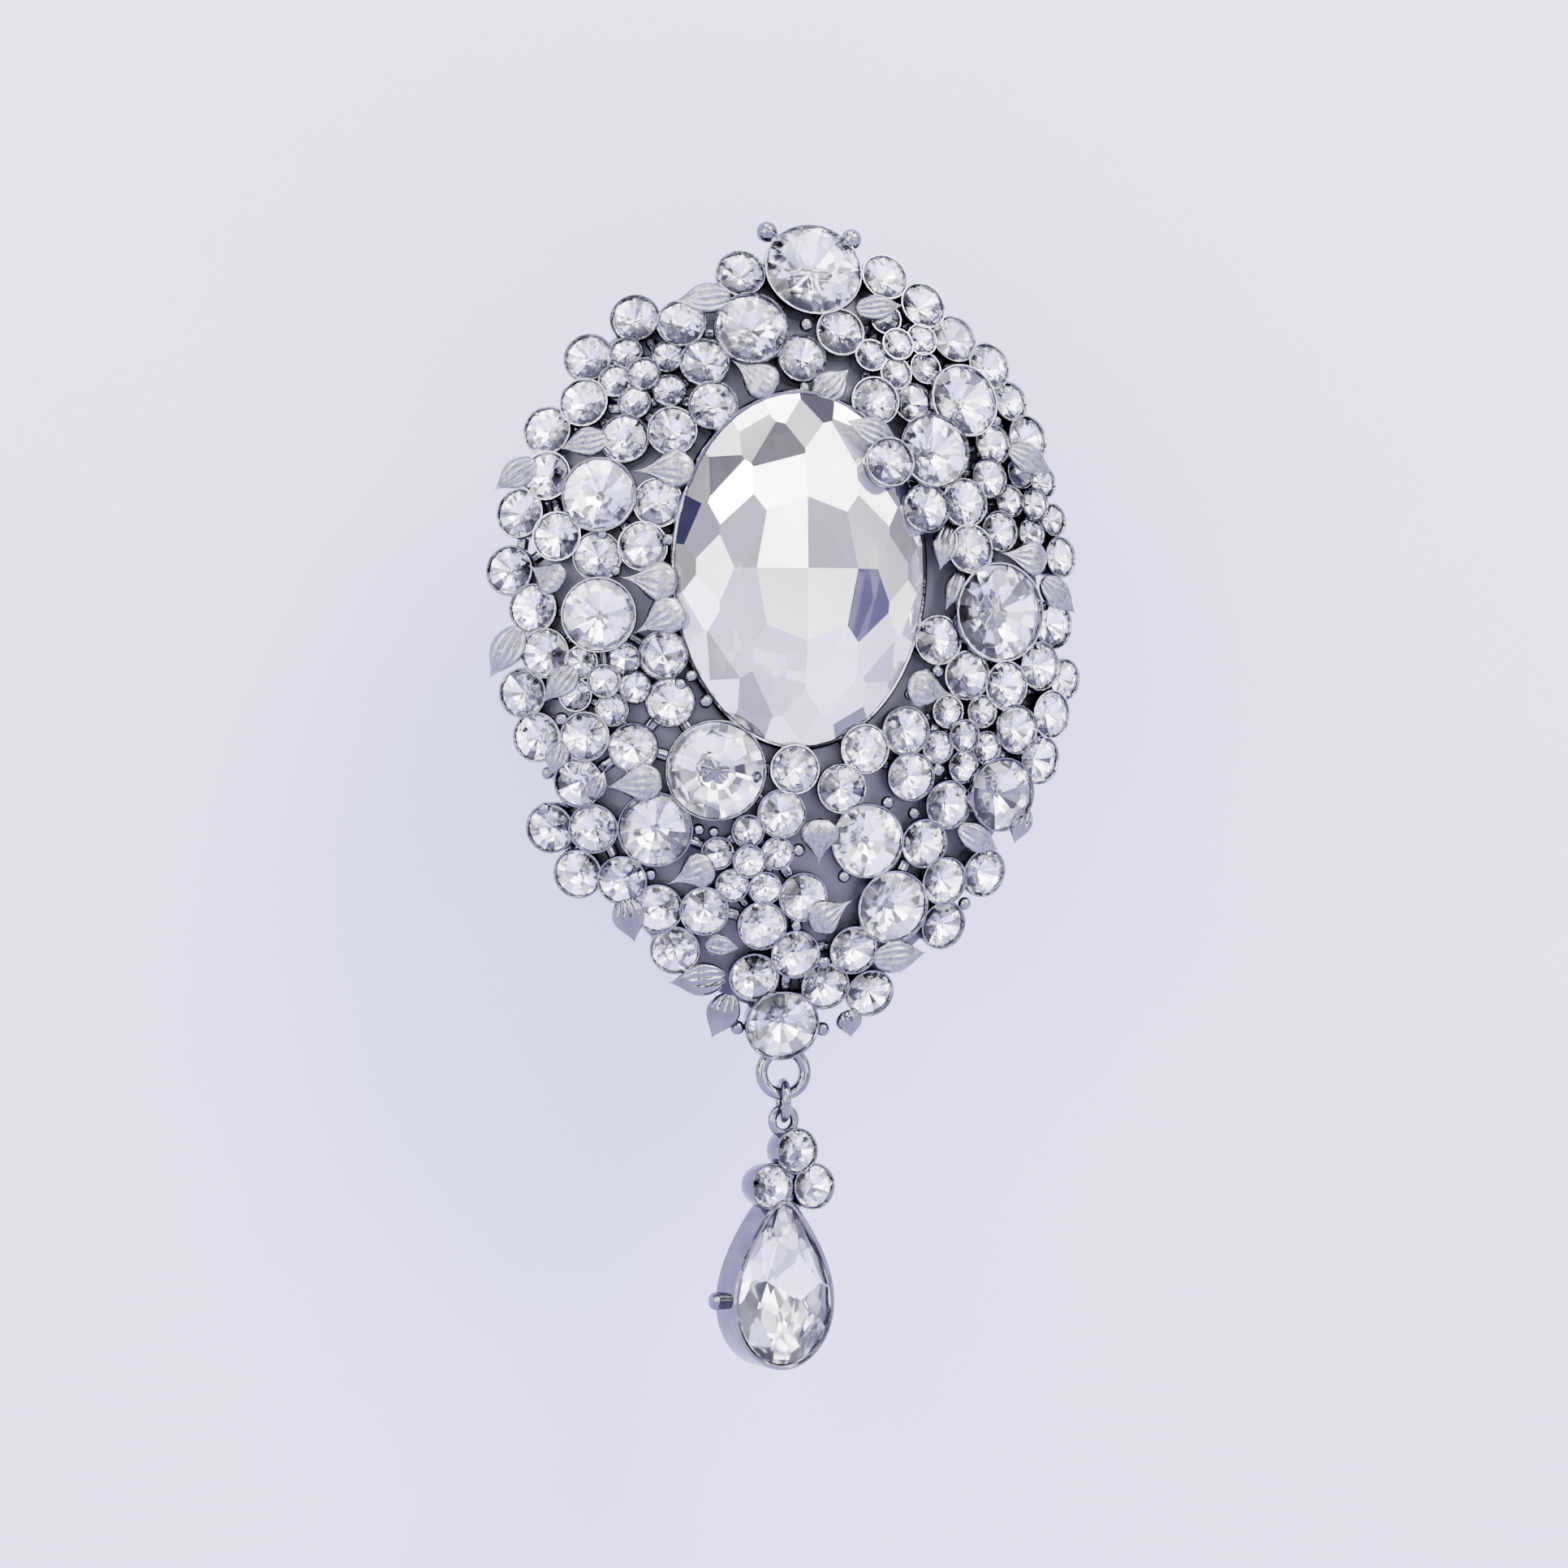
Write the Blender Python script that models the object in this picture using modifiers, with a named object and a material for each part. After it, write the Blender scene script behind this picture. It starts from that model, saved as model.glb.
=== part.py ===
"""Hair pin: a domed oval casting set with stones, a drop on a link, and a bar pin behind.

X is to the right, Z up and the face looks towards -Y. The origin is the middle of the closed
pin stem, where the piece is held. The constants are in metres, by way of MM, and angles in
radians. Places on the face are measured from the centre of the large oval stone.
"""

import math

import bmesh
import bpy
import numpy as np
from mathutils import Matrix, Vector

MM = 0.001

# The domed plate, seen from the front: an ellipse, highest at its middle.
PLATE_HALF_WIDTH = 25.5 * MM
PLATE_HALF_HEIGHT = 35.9 * MM
PLATE_MIDDLE = -6.3 * MM  # the ellipse's middle, below the centre of the oval stone
PLATE_THICKNESS = 1.2 * MM
DOME_RISE = 5.3 * MM
SEAT_ABOVE_PLATE = 2.0 * MM  # from the plate's front to the girdle of a stone
PLATE_SIDES = 40
PLATE_RINGS = 7

# The stones, as radius, and the metal round them.
LARGE_RADIUS = 4.15 * MM
MEDIUM_RADIUS = 3.05 * MM
SMALL_RADIUS = 1.95 * MM
SLIM_RADIUS = 1.6 * MM
TINY_RADIUS = 1.25 * MM
STONE_GAP = 0.2 * MM
CUP_WALL = 0.45 * MM
CUP_SINK = 0.6 * MM  # how far a cup's foot reaches into the plate
CUP_LIP = 0.25 * MM  # how far a cup's rim stands over the girdle
CROWN_SHARE = 0.32  # heights of a round stone, as shares of its radius
TABLE_SHARE = 0.55
PAVILION_SHARE = 0.6
GIRDLE = 0.2 * MM
CUP_SIDES = 8

# The oval stone and its setting.
OVAL_HALF_WIDTH = 11.0 * MM
OVAL_HALF_HEIGHT = 15.3 * MM
OVAL_SEAT = 8.0 * MM  # its girdle, above the plane of the plate's back edge
OVAL_CROWN = 3.7 * MM
OVAL_PAVILION = 4.4 * MM
OVAL_FLOOR = 0.9 * MM
OVAL_STEPS = ((0.45, 0.85), (0.8, 0.5))  # its crown's corners: shares of the width and height
OVAL_BACK_SHARE = 0.4  # how wide the stone's back, its room's floor and its cup's foot are
OVAL_ROOM_SHARE = 0.5
OVAL_FOOT_SHARE = 0.75
OVAL_SIDES = 20

# The eye under the plate, the link and the drop.
EYE_RADIUS = 1.95 * MM  # middle of the wire
EYE_WIRE = 1.1 * MM
EYE_OVERLAP = 0.55 * MM  # how far the eye's wire reaches over the plate's edge
EYE_DEPTH = 0.9 * MM
LINK_RADIUS = 1.6 * MM
LINK_WIRE = 0.8 * MM
LINK_GAP = 0.12 * MM
DROP_EYE_RADIUS = 1.1 * MM
DROP_EYE_WIRE = 0.8 * MM
DROP_TURN = math.radians(16)  # the drop hangs with its left side towards the front
PEAR_HALF_WIDTH = 5.0 * MM
PEAR_HALF_HEIGHT = 7.0 * MM
PEAR_TAPER = 0.6
PEAR_DROP = 14.5 * MM  # from the drop's eye to the middle of the pear
PEAR_CROWN = 2.2 * MM
PEAR_PAVILION = 2.8 * MM
PEAR_FLOOR = 0.8 * MM
PEAR_TABLE = (0.5, 0.8)
PEAR_BACK_SHARE = 0.2
PEAR_ROOM_SHARE = 0.4
PEAR_FOOT_SHARE = 0.9
PEAR_SIDES = 20
NUB_RADIUS = 0.8 * MM
NUB_LENGTH = 1.1 * MM
NUB_BELOW = 0.2  # under the pear's middle, as a share of its half height
RING_SIDES = 18
WIRE_SIDES = 8

# The bar pin behind.
PIN_HEIGHT = 10.0 * MM  # above the centre of the oval stone
BAR_LENGTH = 34.0 * MM
BAR_WIDTH = 4.0 * MM
BAR_THICKNESS = 1.0 * MM
BAR_SOLDER = 0.3 * MM  # between the bar and the plate
STEM_RADIUS = 0.5 * MM
STEM_CLEAR = 2.0 * MM  # the room for hair or cloth between the bar and the stem
STEM_POINT = 6.0 * MM
STEM_TIP_SHARE = 0.3
STEM_PAST_CATCH = 2.2 * MM
HINGE_INSET = 2.5 * MM  # from the bar's end to the rivet, and to the catch
BARREL_RADIUS = 1.2 * MM
BARREL_LENGTH = 1.8 * MM
EAR_THICKNESS = 0.7 * MM
RIVET_RADIUS = 0.5 * MM
RIVET_HEAD = 0.9 * MM
RIVET_HEAD_THICKNESS = 0.4 * MM
RUNNING_GAP = 0.15 * MM
CATCH_RADIUS = 1.7 * MM
CHEEK_THICKNESS = 0.7 * MM
COLLAR_WIDTH = 1.6 * MM
COLLAR_TAB = 1.2 * MM
CATCH_FOOT = 0.6 * MM
CATCH_BORE_GAP = 0.2 * MM
PIN_SIDES = 16

# Places on the face in millimetres: to the right, up, and how much higher the stone stands.
LARGE_STONES = ((2, 26.5, 0), (-7.5, -17.5, 0.5), (18, -3.5, 0.8))
MEDIUM_STONES = (
    (-4, 21, 0.4), (-17.5, 6.5, 0.4), (-17.5, -3.5, 0.4), (-12.5, -22.5, 0.4), (-0.5, -39.5, 0.4),
    (6, -23.5, 0.4), (8.5, -29.5, 0.4), (12.5, 11.5, 1.8), (16, 16, 0.8), (18.5, -19.5, 0.8),
)
UPPER_LEFT_STONES = (
    (-4.5, 26, 0), (-10, 21, 0), (-14, 21, 0), (-17, 18, 0), (-8, 18, 0), (-18.5, 14.5, 0),
    (-21.5, 12, 0), (-15, 11.5, 0), (-11, 12, 0), (-7.5, 14.5, 0.4), (-12.5, 5.5, 0),
    (-21.5, 8, 0), (-24.5, 5, 0), (-22, 3.5, 0), (-19.5, 1.5, 0), (-14.5, 2, 0),
)
LOWER_LEFT_STONES = (
    (-25, -0.5, 0), (-23, -3.5, 0), (-22, -7, 0), (-23.5, -10.5, 0), (-12, -7.5, 0),
    (-11.5, -11.5, 0), (-22.5, -14.5, 0), (-18.5, -14.5, 0), (-14.5, -15.5, 0), (-19, -18.5, 0),
    (-21, -22.5, 0), (-18, -22.5, 0.5), (-18.5, -26.5, 0), (-15.5, -27, 0.5), (-12, -29.5, 0),
    (-8, -29.5, 0), (-10.5, -33, 0), (-3, -31, 0), (-3.5, -35.5, 0), (0, -33.5, 0),
)
LOWER_RIGHT_STONES = (
    (0.5, -28.5, 0), (-1.5, -21, 0), (-0.5, -17, 0), (4, -19, 0), (5.5, -15.5, 0), (9.5, -14, 0),
    (10, -18, 0), (13.5, -20.5, 0), (11.5, -24, 0), (13.5, -27, 0), (17, -26.5, 0),
    (13.5, -31, 0), (5, -33.5, 0), (2.5, -36.5, 0), (7, -37, 0), (15.5, -9, 0), (19.5, -10, 0),
    (23, -8.5, 0), (23.5, -12.5, 0), (20, -14, 0.4), (22, -16, 0),
)
UPPER_RIGHT_STONES = (
    (8.5, 26, 0), (12, 23, 0), (4, 21, 0), (0.5, 18.5, 0), (15, 20, 0), (18.5, 19.5, 0),
    (8, 15.5, 0.4), (21, 13, 0), (7.5, 9, 3.2), (11.5, 5.5, 1.4), (14.5, 6, 0.8),
    (15.5, 1.5, 0.8), (12.5, -6, 0), (23.5, -5, 0),
)
SLIM_STONES = (
    (12, 16, 0), (21, 16.5, 0), (17, 12.5, 0), (17.5, 9, 0.4), (18.5, 4, 0), (24.5, 1.5, 0),
    (25, -9, -0.6),
)
SMALL_STONES = UPPER_LEFT_STONES + LOWER_LEFT_STONES + LOWER_RIGHT_STONES + UPPER_RIGHT_STONES
SEPARATE_SMALL_STONES = 30  # the first ones made as pieces of their own
# A flower is a tiny stone with five more round it: its place, and its first petal's direction.
FLOWERS = (
    (-13.5, 17.5, 104), (-17, -9.5, 67), (-4.5, -25.5, 90), (9.5, 19, 110), (22, 6.5, 117),
    (15, -14.5, 55),
)
PETALS = 5
PETAL_REACH = 2.75  # millimetres from the flower's middle to a petal's
FLOWER_LIFT = 0.4
DROP_STONE_RADIUS = 1.8 * MM
DROP_STONES = ((1.0, -2.7, 0.6), (-1.3, -5.8, 0.2), (2.9, -5.9, 0.2))  # from the drop's eye
SETTLING_ROUNDS = 200
SHARE_OF_PUSH = 0.5  # what two stones that meet move apart in one round
SPACING = 0.12 * MM  # the least room between two stones
RAISED = 1 * MM  # a stone lifted by more may reach over the oval stone by as much as its lift
OUTERMOST = 0.985  # how far out a stone's middle may lie, as a share of the way to the plate's edge


def new_collection(name, hidden=False):
    made = bpy.data.collections.new(name)
    bpy.context.scene.collection.children.link(made)
    made.hide_render = hidden
    return made


def new_material(name, colour, roughness, metallic, clear=0.0):
    made = bpy.data.materials.new(name)
    made.use_nodes = True
    shader = made.node_tree.nodes["Principled BSDF"]
    shader.inputs["Base Color"].default_value = (*colour, 1)
    shader.inputs["Roughness"].default_value = roughness
    shader.inputs["Metallic"].default_value = metallic
    shader.inputs["Transmission Weight"].default_value = clear
    return made


def put_in(obj, collection, material):
    """Move an object to its collection, as a part, or as a tool drawn in wire."""
    for holder in list(obj.users_collection):
        holder.objects.unlink(obj)
    collection.objects.link(obj)
    if collection.hide_render:
        obj.hide_render = True
        obj.display_type = "WIRE"
    if material:
        obj.data.materials.append(material)
    return obj


def turned(name, profile, sides, place, collection, material=None):
    """A profile of (radius, height) points, from the top down its outer side, turned about Z."""
    mesh = bpy.data.meshes.new(name)
    points = [(radius, 0, height) for radius, height in profile]
    mesh.from_pydata(points, [(i, i + 1) for i in range(len(points) - 1)], [])
    obj = bpy.data.objects.new(name, mesh)
    bpy.context.scene.collection.objects.link(obj)
    obj.matrix_world = place
    screw = obj.modifiers.new("Turn", "SCREW")
    screw.steps = screw.render_steps = sides
    screw.use_merge_vertices = True
    screw.merge_threshold = 0.01 * MM
    screw.use_smooth_shade = False
    return put_in(obj, collection, material)


def shaped(obj, shape):
    """The object's turned mesh with every point moved by shape(x, y, z)."""
    graph = bpy.context.evaluated_depsgraph_get()
    mesh = bpy.data.meshes.new_from_object(obj.evaluated_get(graph))
    obj.modifiers.clear()
    obj.data = mesh
    for vertex in mesh.vertices:
        vertex.co = shape(*vertex.co)
    return obj


def box(name, size, place, collection, material=None):
    made = bmesh.new()
    bmesh.ops.create_cube(made, size=1, matrix=Matrix.Diagonal((*size, 1)))
    mesh = bpy.data.meshes.new(name)
    made.to_mesh(mesh)
    made.free()
    obj = bpy.data.objects.new(name, mesh)
    bpy.context.scene.collection.objects.link(obj)
    obj.matrix_world = place
    return put_in(obj, collection, material)


def ring(name, radius, wire, place, collection, material=None):
    """A closed ring of round wire about the Z axis of its place."""
    bpy.ops.mesh.primitive_torus_add(
        major_radius=radius, minor_radius=wire / 2,
        major_segments=RING_SIDES, minor_segments=WIRE_SIDES,
    )
    obj = bpy.context.object
    obj.name = obj.data.name = name
    obj.matrix_world = place
    return put_in(obj, collection, material)


def rod(name, radius, length, place, collection, material=None, sides=PIN_SIDES):
    half = length / 2
    profile = ((0, half), (radius, half), (radius, -half), (0, -half))
    return turned(name, profile, sides, place, collection, material)


def without_voids(obj):
    """Its evaluated mesh with the sealed hollows between its joined shapes filled in."""
    shaped(obj, lambda x, y, z: Vector((x, y, z)))
    made = bmesh.new()
    made.from_mesh(obj.data)
    waiting = set(made.faces)
    bodies = []
    while waiting:
        body, edge_of_body = set(), [waiting.pop()]
        while edge_of_body:
            face = edge_of_body.pop()
            body.add(face)
            near = {other for edge in face.edges for other in edge.link_faces} & waiting
            waiting -= near
            edge_of_body += near
        bodies.append(body)
    bodies.sort(key=len)
    for body in bodies[:-1]:
        bmesh.ops.delete(made, geom=list(body), context="FACES")
    made.to_mesh(obj.data)
    made.free()


def boolean(obj, collection, operation):
    modifier = obj.modifiers.new(operation.title(), "BOOLEAN")
    modifier.operation = operation
    modifier.solver = "EXACT"
    modifier.operand_type = "COLLECTION"
    modifier.collection = collection


def at(x, height, z):
    """The place of a point on the face: height is towards the viewer from the plate's back edge."""
    return Vector((x, STEM_HEIGHT - height, z - PIN_HEIGHT))


def from_middle(x, z):
    """How far out on the plate a point is: 0 at its middle and 1 at its edge."""
    return math.hypot(x / PLATE_HALF_WIDTH, (z - PLATE_MIDDLE) / PLATE_HALF_HEIGHT)


def plate_back(x, z):
    return DOME_RISE * (1 - from_middle(x, z) ** 3)


def seat(x, z, lift):
    """The frame of a stone's girdle: Z along the dome's normal, out of the face."""
    steep = 3 * DOME_RISE * from_middle(x, z)
    lean = (steep * x / PLATE_HALF_WIDTH**2, -1, steep * (z - PLATE_MIDDLE) / PLATE_HALF_HEIGHT**2)
    height = plate_back(x, z) + PLATE_THICKNESS + SEAT_ABOVE_PLATE + lift
    turn = Vector(lean).to_track_quat("Z", "Y").to_matrix().to_4x4()
    return Matrix.Translation(at(x, height, z)) @ turn


def flower_stones():
    for x, z, first in FLOWERS:
        yield x, z, FLOWER_LIFT
        for petal in range(PETALS):
            angle = math.radians(first) + math.tau * petal / PETALS
            yield x + PETAL_REACH * math.cos(angle), z + PETAL_REACH * math.sin(angle), 0


def settled(rows):
    """Rows of (radius, x, z, lift) with the stones pushed apart, the smaller ones more."""
    radius = np.array([row[0] for row in rows])
    place = np.array([row[1:3] for row in rows]) * MM
    lift = np.array([row[3] for row in rows]) * MM
    apart = radius[:, None] + radius[None, :] + SPACING
    yields = radius[None, :] ** 2 / (radius[:, None] ** 2 + radius[None, :] ** 2)
    oval = np.array((OVAL_HALF_WIDTH, OVAL_HALF_HEIGHT)) + SPACING
    over_oval = np.where(lift < RAISED, 0, lift)
    np.fill_diagonal(apart, 0)
    for _ in range(SETTLING_ROUNDS):
        height = np.array([plate_back(x, z) for x, z in place]) + lift
        between = place[:, None] - place[None, :]
        step = height[:, None] - height[None, :]
        distance = np.maximum(np.hypot(np.linalg.norm(between, axis=2), step), 1e-9)
        push = yields * np.clip(apart - distance, 0, None) / distance
        place = place + SHARE_OF_PUSH * (between * push[:, :, None]).sum(axis=1)
        out = np.linalg.norm(place / (oval + (radius - over_oval)[:, None]), axis=1)
        place /= np.minimum(out, 1)[:, None]
        middle = np.array((0, PLATE_MIDDLE))
        spread = (place - middle) / (PLATE_HALF_WIDTH, PLATE_HALF_HEIGHT)
        over = np.maximum(np.linalg.norm(spread, axis=1) / OUTERMOST, 1)
        place = middle + (place - middle) / over[:, None]
    return place


def cup(name, radius, frame, depth, collection):
    """A cup's outside, from its rim down into the plate, a little narrower at its foot."""
    outer = radius + STONE_GAP + CUP_WALL
    profile = ((0, CUP_LIP), (outer, CUP_LIP), (outer - CUP_WALL / 2, -depth), (0, -depth))
    turned(name, profile, CUP_SIDES, frame, collection)


def pocket(name, radius, frame, collection):
    """The room for a round stone: straight at its girdle and a cone under it."""
    wide = radius + STONE_GAP
    low = PAVILION_SHARE * radius + 2 * STONE_GAP
    top = CUP_LIP + CROWN_SHARE * radius
    shoulder = -GIRDLE - STONE_GAP
    profile = ((0, top), (wide, top), (wide, shoulder), (0, -low))
    turned(name, profile, CUP_SIDES, frame, collection)


def round_stone(name, radius, frame, collection, material):
    """A round stone: table, crown, girdle and a pointed back."""
    crown = CROWN_SHARE * radius
    profile = (
        (0, crown), (TABLE_SHARE * radius, crown), (radius, GIRDLE / 2), (radius, -GIRDLE / 2),
        (0, -PAVILION_SHARE * radius),
    )
    return turned(name, profile, CUP_SIDES, frame, collection, material)


def oval(x, y, z):
    return Vector((x * OVAL_HALF_WIDTH, y * OVAL_HALF_HEIGHT, z))


def pear(x, y, z):
    """A circle whose width closes in towards its top."""
    return Vector((x * PEAR_HALF_WIDTH * (1 - PEAR_TAPER * ((y + 1) / 2) ** 2), y * PEAR_HALF_HEIGHT, z))


def facing(place):
    """A frame at a place with its Z towards the viewer and its Y up."""
    return Matrix.Translation(place) @ Matrix.Rotation(math.radians(90), 4, "X")


def grown(shape, margin, half_width, half_height):
    """A shape function made larger all round by a margin."""
    def larger(x, y, z):
        made = shape(x, y, z)
        return Vector((made.x * (1 + margin / half_width), made.y * (1 + margin / half_height), z))
    return larger


def make_casting(stones, parts, joins, cutters, metal):
    rings = [i / PLATE_RINGS for i in range(PLATE_RINGS + 1)]
    front = [(r, plate_back(r * PLATE_HALF_WIDTH, PLATE_MIDDLE) + PLATE_THICKNESS) for r in rings]
    back = [(r, plate_back(r * PLATE_HALF_WIDTH, PLATE_MIDDLE)) for r in reversed(rings)]
    frame = facing(at(0, 0, PLATE_MIDDLE))
    casting = turned("base_casting", front + back, PLATE_SIDES, frame, parts, metal)
    shaped(casting, lambda x, y, z: Vector((x * PLATE_HALF_WIDTH, y * PLATE_HALF_HEIGHT, z)))
    for i, (radius, x, z, lift) in enumerate(stones):
        depth = SEAT_ABOVE_PLATE + CUP_SINK + lift
        cup(f"cup_{i}", radius, seat(x, z, lift), depth, joins)
    low = -OVAL_PAVILION - STONE_GAP
    foot = OVAL_FOOT - OVAL_SEAT
    frame = facing(at(0, OVAL_SEAT, 0))
    outside = turned(
        "oval_cup", ((0, CUP_LIP), (1, CUP_LIP), (OVAL_FOOT_SHARE, foot), (0, foot)), OVAL_SIDES, frame,
        joins,
    )
    margin = STONE_GAP + CUP_WALL
    shaped(outside, grown(oval, margin, OVAL_HALF_WIDTH, OVAL_HALF_HEIGHT))
    shoulder = -GIRDLE - STONE_GAP
    profile = ((0, OVAL_CROWN), (1, OVAL_CROWN), (1, shoulder), (OVAL_ROOM_SHARE, low), (0, low))
    room = turned("oval_pocket", profile, OVAL_SIDES, frame, cutters)
    shaped(room, grown(oval, STONE_GAP, OVAL_HALF_WIDTH, OVAL_HALF_HEIGHT))
    ring("eye", EYE_RADIUS, EYE_WIRE, facing(EYE_PLACE), joins)
    boolean(casting, joins, "UNION")
    without_voids(casting)
    boolean(casting, cutters, "DIFFERENCE")


def make_oval_stone(parts, crystal):
    corners = [(wide, high * OVAL_CROWN) for wide, high in OVAL_STEPS]
    profile = (
        (0, OVAL_CROWN), *corners, (1, GIRDLE / 2), (1, -GIRDLE / 2),
        (OVAL_BACK_SHARE, -OVAL_PAVILION), (0, -OVAL_PAVILION),
    )
    stone = turned("centre_stone", profile, OVAL_SIDES, facing(at(0, OVAL_SEAT, 0)), parts, crystal)
    shaped(stone, oval)


def make_link(parts, metal):
    frame = Matrix.Translation(LINK_PLACE) @ Matrix.Rotation(math.radians(90), 4, "Y")
    ring("link_ring", LINK_RADIUS, LINK_WIRE, frame, parts, metal)


def make_drop(parts, joins, cutters, metal, crystal):
    hang = Matrix.Translation(DROP_EYE_PLACE) @ Matrix.Rotation(DROP_TURN, 4, "Z")
    upright = Matrix.Rotation(math.radians(90), 4, "X")
    middle = hang @ Matrix.Translation((0, 0, -PEAR_DROP)) @ upright
    margin = STONE_GAP + CUP_WALL
    foot = -PEAR_PAVILION - STONE_GAP - PEAR_FLOOR
    casting = turned(
        "drop_casting", ((0, CUP_LIP), (1, CUP_LIP), (PEAR_FOOT_SHARE, foot), (0, foot)),
        PEAR_SIDES, middle, parts, metal,
    )
    shaped(casting, grown(pear, margin, PEAR_HALF_WIDTH, PEAR_HALF_HEIGHT))
    low = -PEAR_PAVILION - STONE_GAP
    shoulder = -GIRDLE - STONE_GAP
    profile = ((0, PEAR_CROWN), (1, PEAR_CROWN), (1, shoulder), (PEAR_ROOM_SHARE, low), (0, low))
    room = turned("pear_pocket", profile, PEAR_SIDES, middle, cutters)
    shaped(room, grown(pear, STONE_GAP, PEAR_HALF_WIDTH, PEAR_HALF_HEIGHT))
    profile = (
        (0, PEAR_CROWN), (PEAR_TABLE[0], PEAR_TABLE[1] * PEAR_CROWN), (1, GIRDLE / 2),
        (1, -GIRDLE / 2), (PEAR_BACK_SHARE, -PEAR_PAVILION), (0, -PEAR_PAVILION),
    )
    stone = turned("pear_stone", profile, PEAR_SIDES, middle, parts, crystal)
    shaped(stone, pear)
    for i, (x, z, forward) in enumerate(DROP_STONES, 1):
        frame = hang @ Matrix.Translation((x * MM, -forward * MM, z * MM)) @ upright
        cup(f"drop_cup_{i}", DROP_STONE_RADIUS, frame, SEAT_ABOVE_PLATE + forward * MM, joins)
        pocket(f"drop_pocket_{i}", DROP_STONE_RADIUS, frame, cutters)
        round_stone(f"drop_stone_{i}", DROP_STONE_RADIUS, frame, parts, crystal)
    ring("drop_eye", DROP_EYE_RADIUS, DROP_EYE_WIRE, hang @ upright, joins)
    low_side = -PEAR_DROP - NUB_BELOW * PEAR_HALF_HEIGHT
    side = Matrix.Translation((-PEAR_HALF_WIDTH, -foot / 2, low_side))
    outward = hang @ side @ Matrix.Rotation(math.radians(90), 4, "Y")
    rod("nub", NUB_RADIUS, 2 * NUB_LENGTH, outward, joins)
    boolean(casting, joins, "UNION")
    boolean(casting, cutters, "DIFFERENCE")


def make_bar(parts, joins, cutters, metal):
    """The bar with the two ears of its hinge."""
    middle = Vector((0, BAR_BACK - BAR_THICKNESS / 2, 0))
    size = (BAR_LENGTH, BAR_THICKNESS, BAR_WIDTH)
    bar = box("pin_bar", size, Matrix.Translation(middle), parts, metal)
    ear_middle = BARREL_LENGTH / 2 + RUNNING_GAP + EAR_THICKNESS / 2
    for side in (-1, 1):
        z = side * ear_middle
        reach = -BAR_BACK + BAR_THICKNESS / 2
        place = Matrix.Translation((HINGE_X, -reach / 2, z))
        box(f"ear_web_{side}", (2 * BARREL_RADIUS, reach, EAR_THICKNESS), place, joins)
        rod(f"ear_{side}", BARREL_RADIUS, EAR_THICKNESS, Matrix.Translation((HINGE_X, 0, z)), joins)
    hole = Matrix.Translation((HINGE_X, 0, 0))
    rod("rivet_hole", RIVET_RADIUS + RUNNING_GAP, 2 * BAR_WIDTH, hole, cutters)
    boolean(bar, joins, "UNION")
    boolean(bar, cutters, "DIFFERENCE")


def make_rivet(parts, metal):
    top = BARREL_LENGTH / 2 + 2 * RUNNING_GAP + EAR_THICKNESS
    head = top + RIVET_HEAD_THICKNESS
    profile = (
        (0, head), (RIVET_HEAD, head), (RIVET_HEAD, top), (RIVET_RADIUS, top),
        (RIVET_RADIUS, -top), (RIVET_HEAD, -top), (RIVET_HEAD, -head), (0, -head),
    )
    turned("hinge_rivet", profile, PIN_SIDES, Matrix.Translation((HINGE_X, 0, 0)), parts, metal)


def make_stem(parts, joins, cutters, metal):
    """The sharpened stem with the barrel that turns on the rivet. Its origin is on the rivet's axis."""
    barrel = rod(
        "pin_stem", BARREL_RADIUS, BARREL_LENGTH, Matrix.Translation((HINGE_X, 0, 0)), parts, metal
    )
    length = HINGE_X - CATCH_X + STEM_PAST_CATCH
    profile = (
        (0, length), (STEM_TIP_SHARE * STEM_RADIUS, length), (STEM_RADIUS, length - STEM_POINT),
        (STEM_RADIUS, 0), (0, 0),
    )
    along = Matrix.Translation((HINGE_X, 0, 0)) @ Matrix.Rotation(math.radians(-90), 4, "Y")
    turned("stem_wire", profile, PIN_SIDES, along, joins)
    hole = Matrix.Translation((HINGE_X, 0, 0))
    rod("barrel_hole", RIVET_RADIUS + RUNNING_GAP, 2 * BARREL_LENGTH, hole, cutters)
    boolean(barrel, joins, "UNION")
    boolean(barrel, cutters, "DIFFERENCE")


def make_catch(parts, joins, cutters, metal):
    """The catch's foot and its two slotted cheeks."""
    across = Matrix.Rotation(math.radians(90), 4, "Y")
    length = COLLAR_WIDTH + 2 * (RUNNING_GAP + CHEEK_THICKNESS)
    foot_middle = Vector((CATCH_X, BAR_BACK + BAR_SOLDER / 2 + CATCH_FOOT / 2, 0))
    size = (length, CATCH_FOOT, 2 * CATCH_RADIUS)
    foot = box("catch_housing", size, Matrix.Translation(foot_middle), parts, metal)
    bottom = foot_middle.y
    for side in (-1, 1):
        x = CATCH_X + side * (length - CHEEK_THICKNESS) / 2
        rod(f"cheek_{side}", CATCH_RADIUS, CHEEK_THICKNESS, Matrix.Translation((x, 0, 0)) @ across, joins)
        place = Matrix.Translation((x, bottom / 2, 0))
        box(f"cheek_web_{side}", (CHEEK_THICKNESS, -bottom, 2 * CATCH_RADIUS), place, joins)
    slot_size = (2 * length, 2 * CATCH_RADIUS, 2 * CATCH_BORE)
    slot_place = Matrix.Translation((CATCH_X, CATCH_RADIUS, 0))
    box("cheek_slot", slot_size, slot_place, cutters)
    rod("cheek_bore", CATCH_BORE, 2 * length, Matrix.Translation((CATCH_X, 0, 0)) @ across, cutters)
    boolean(foot, joins, "UNION")
    boolean(foot, cutters, "DIFFERENCE")


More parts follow.
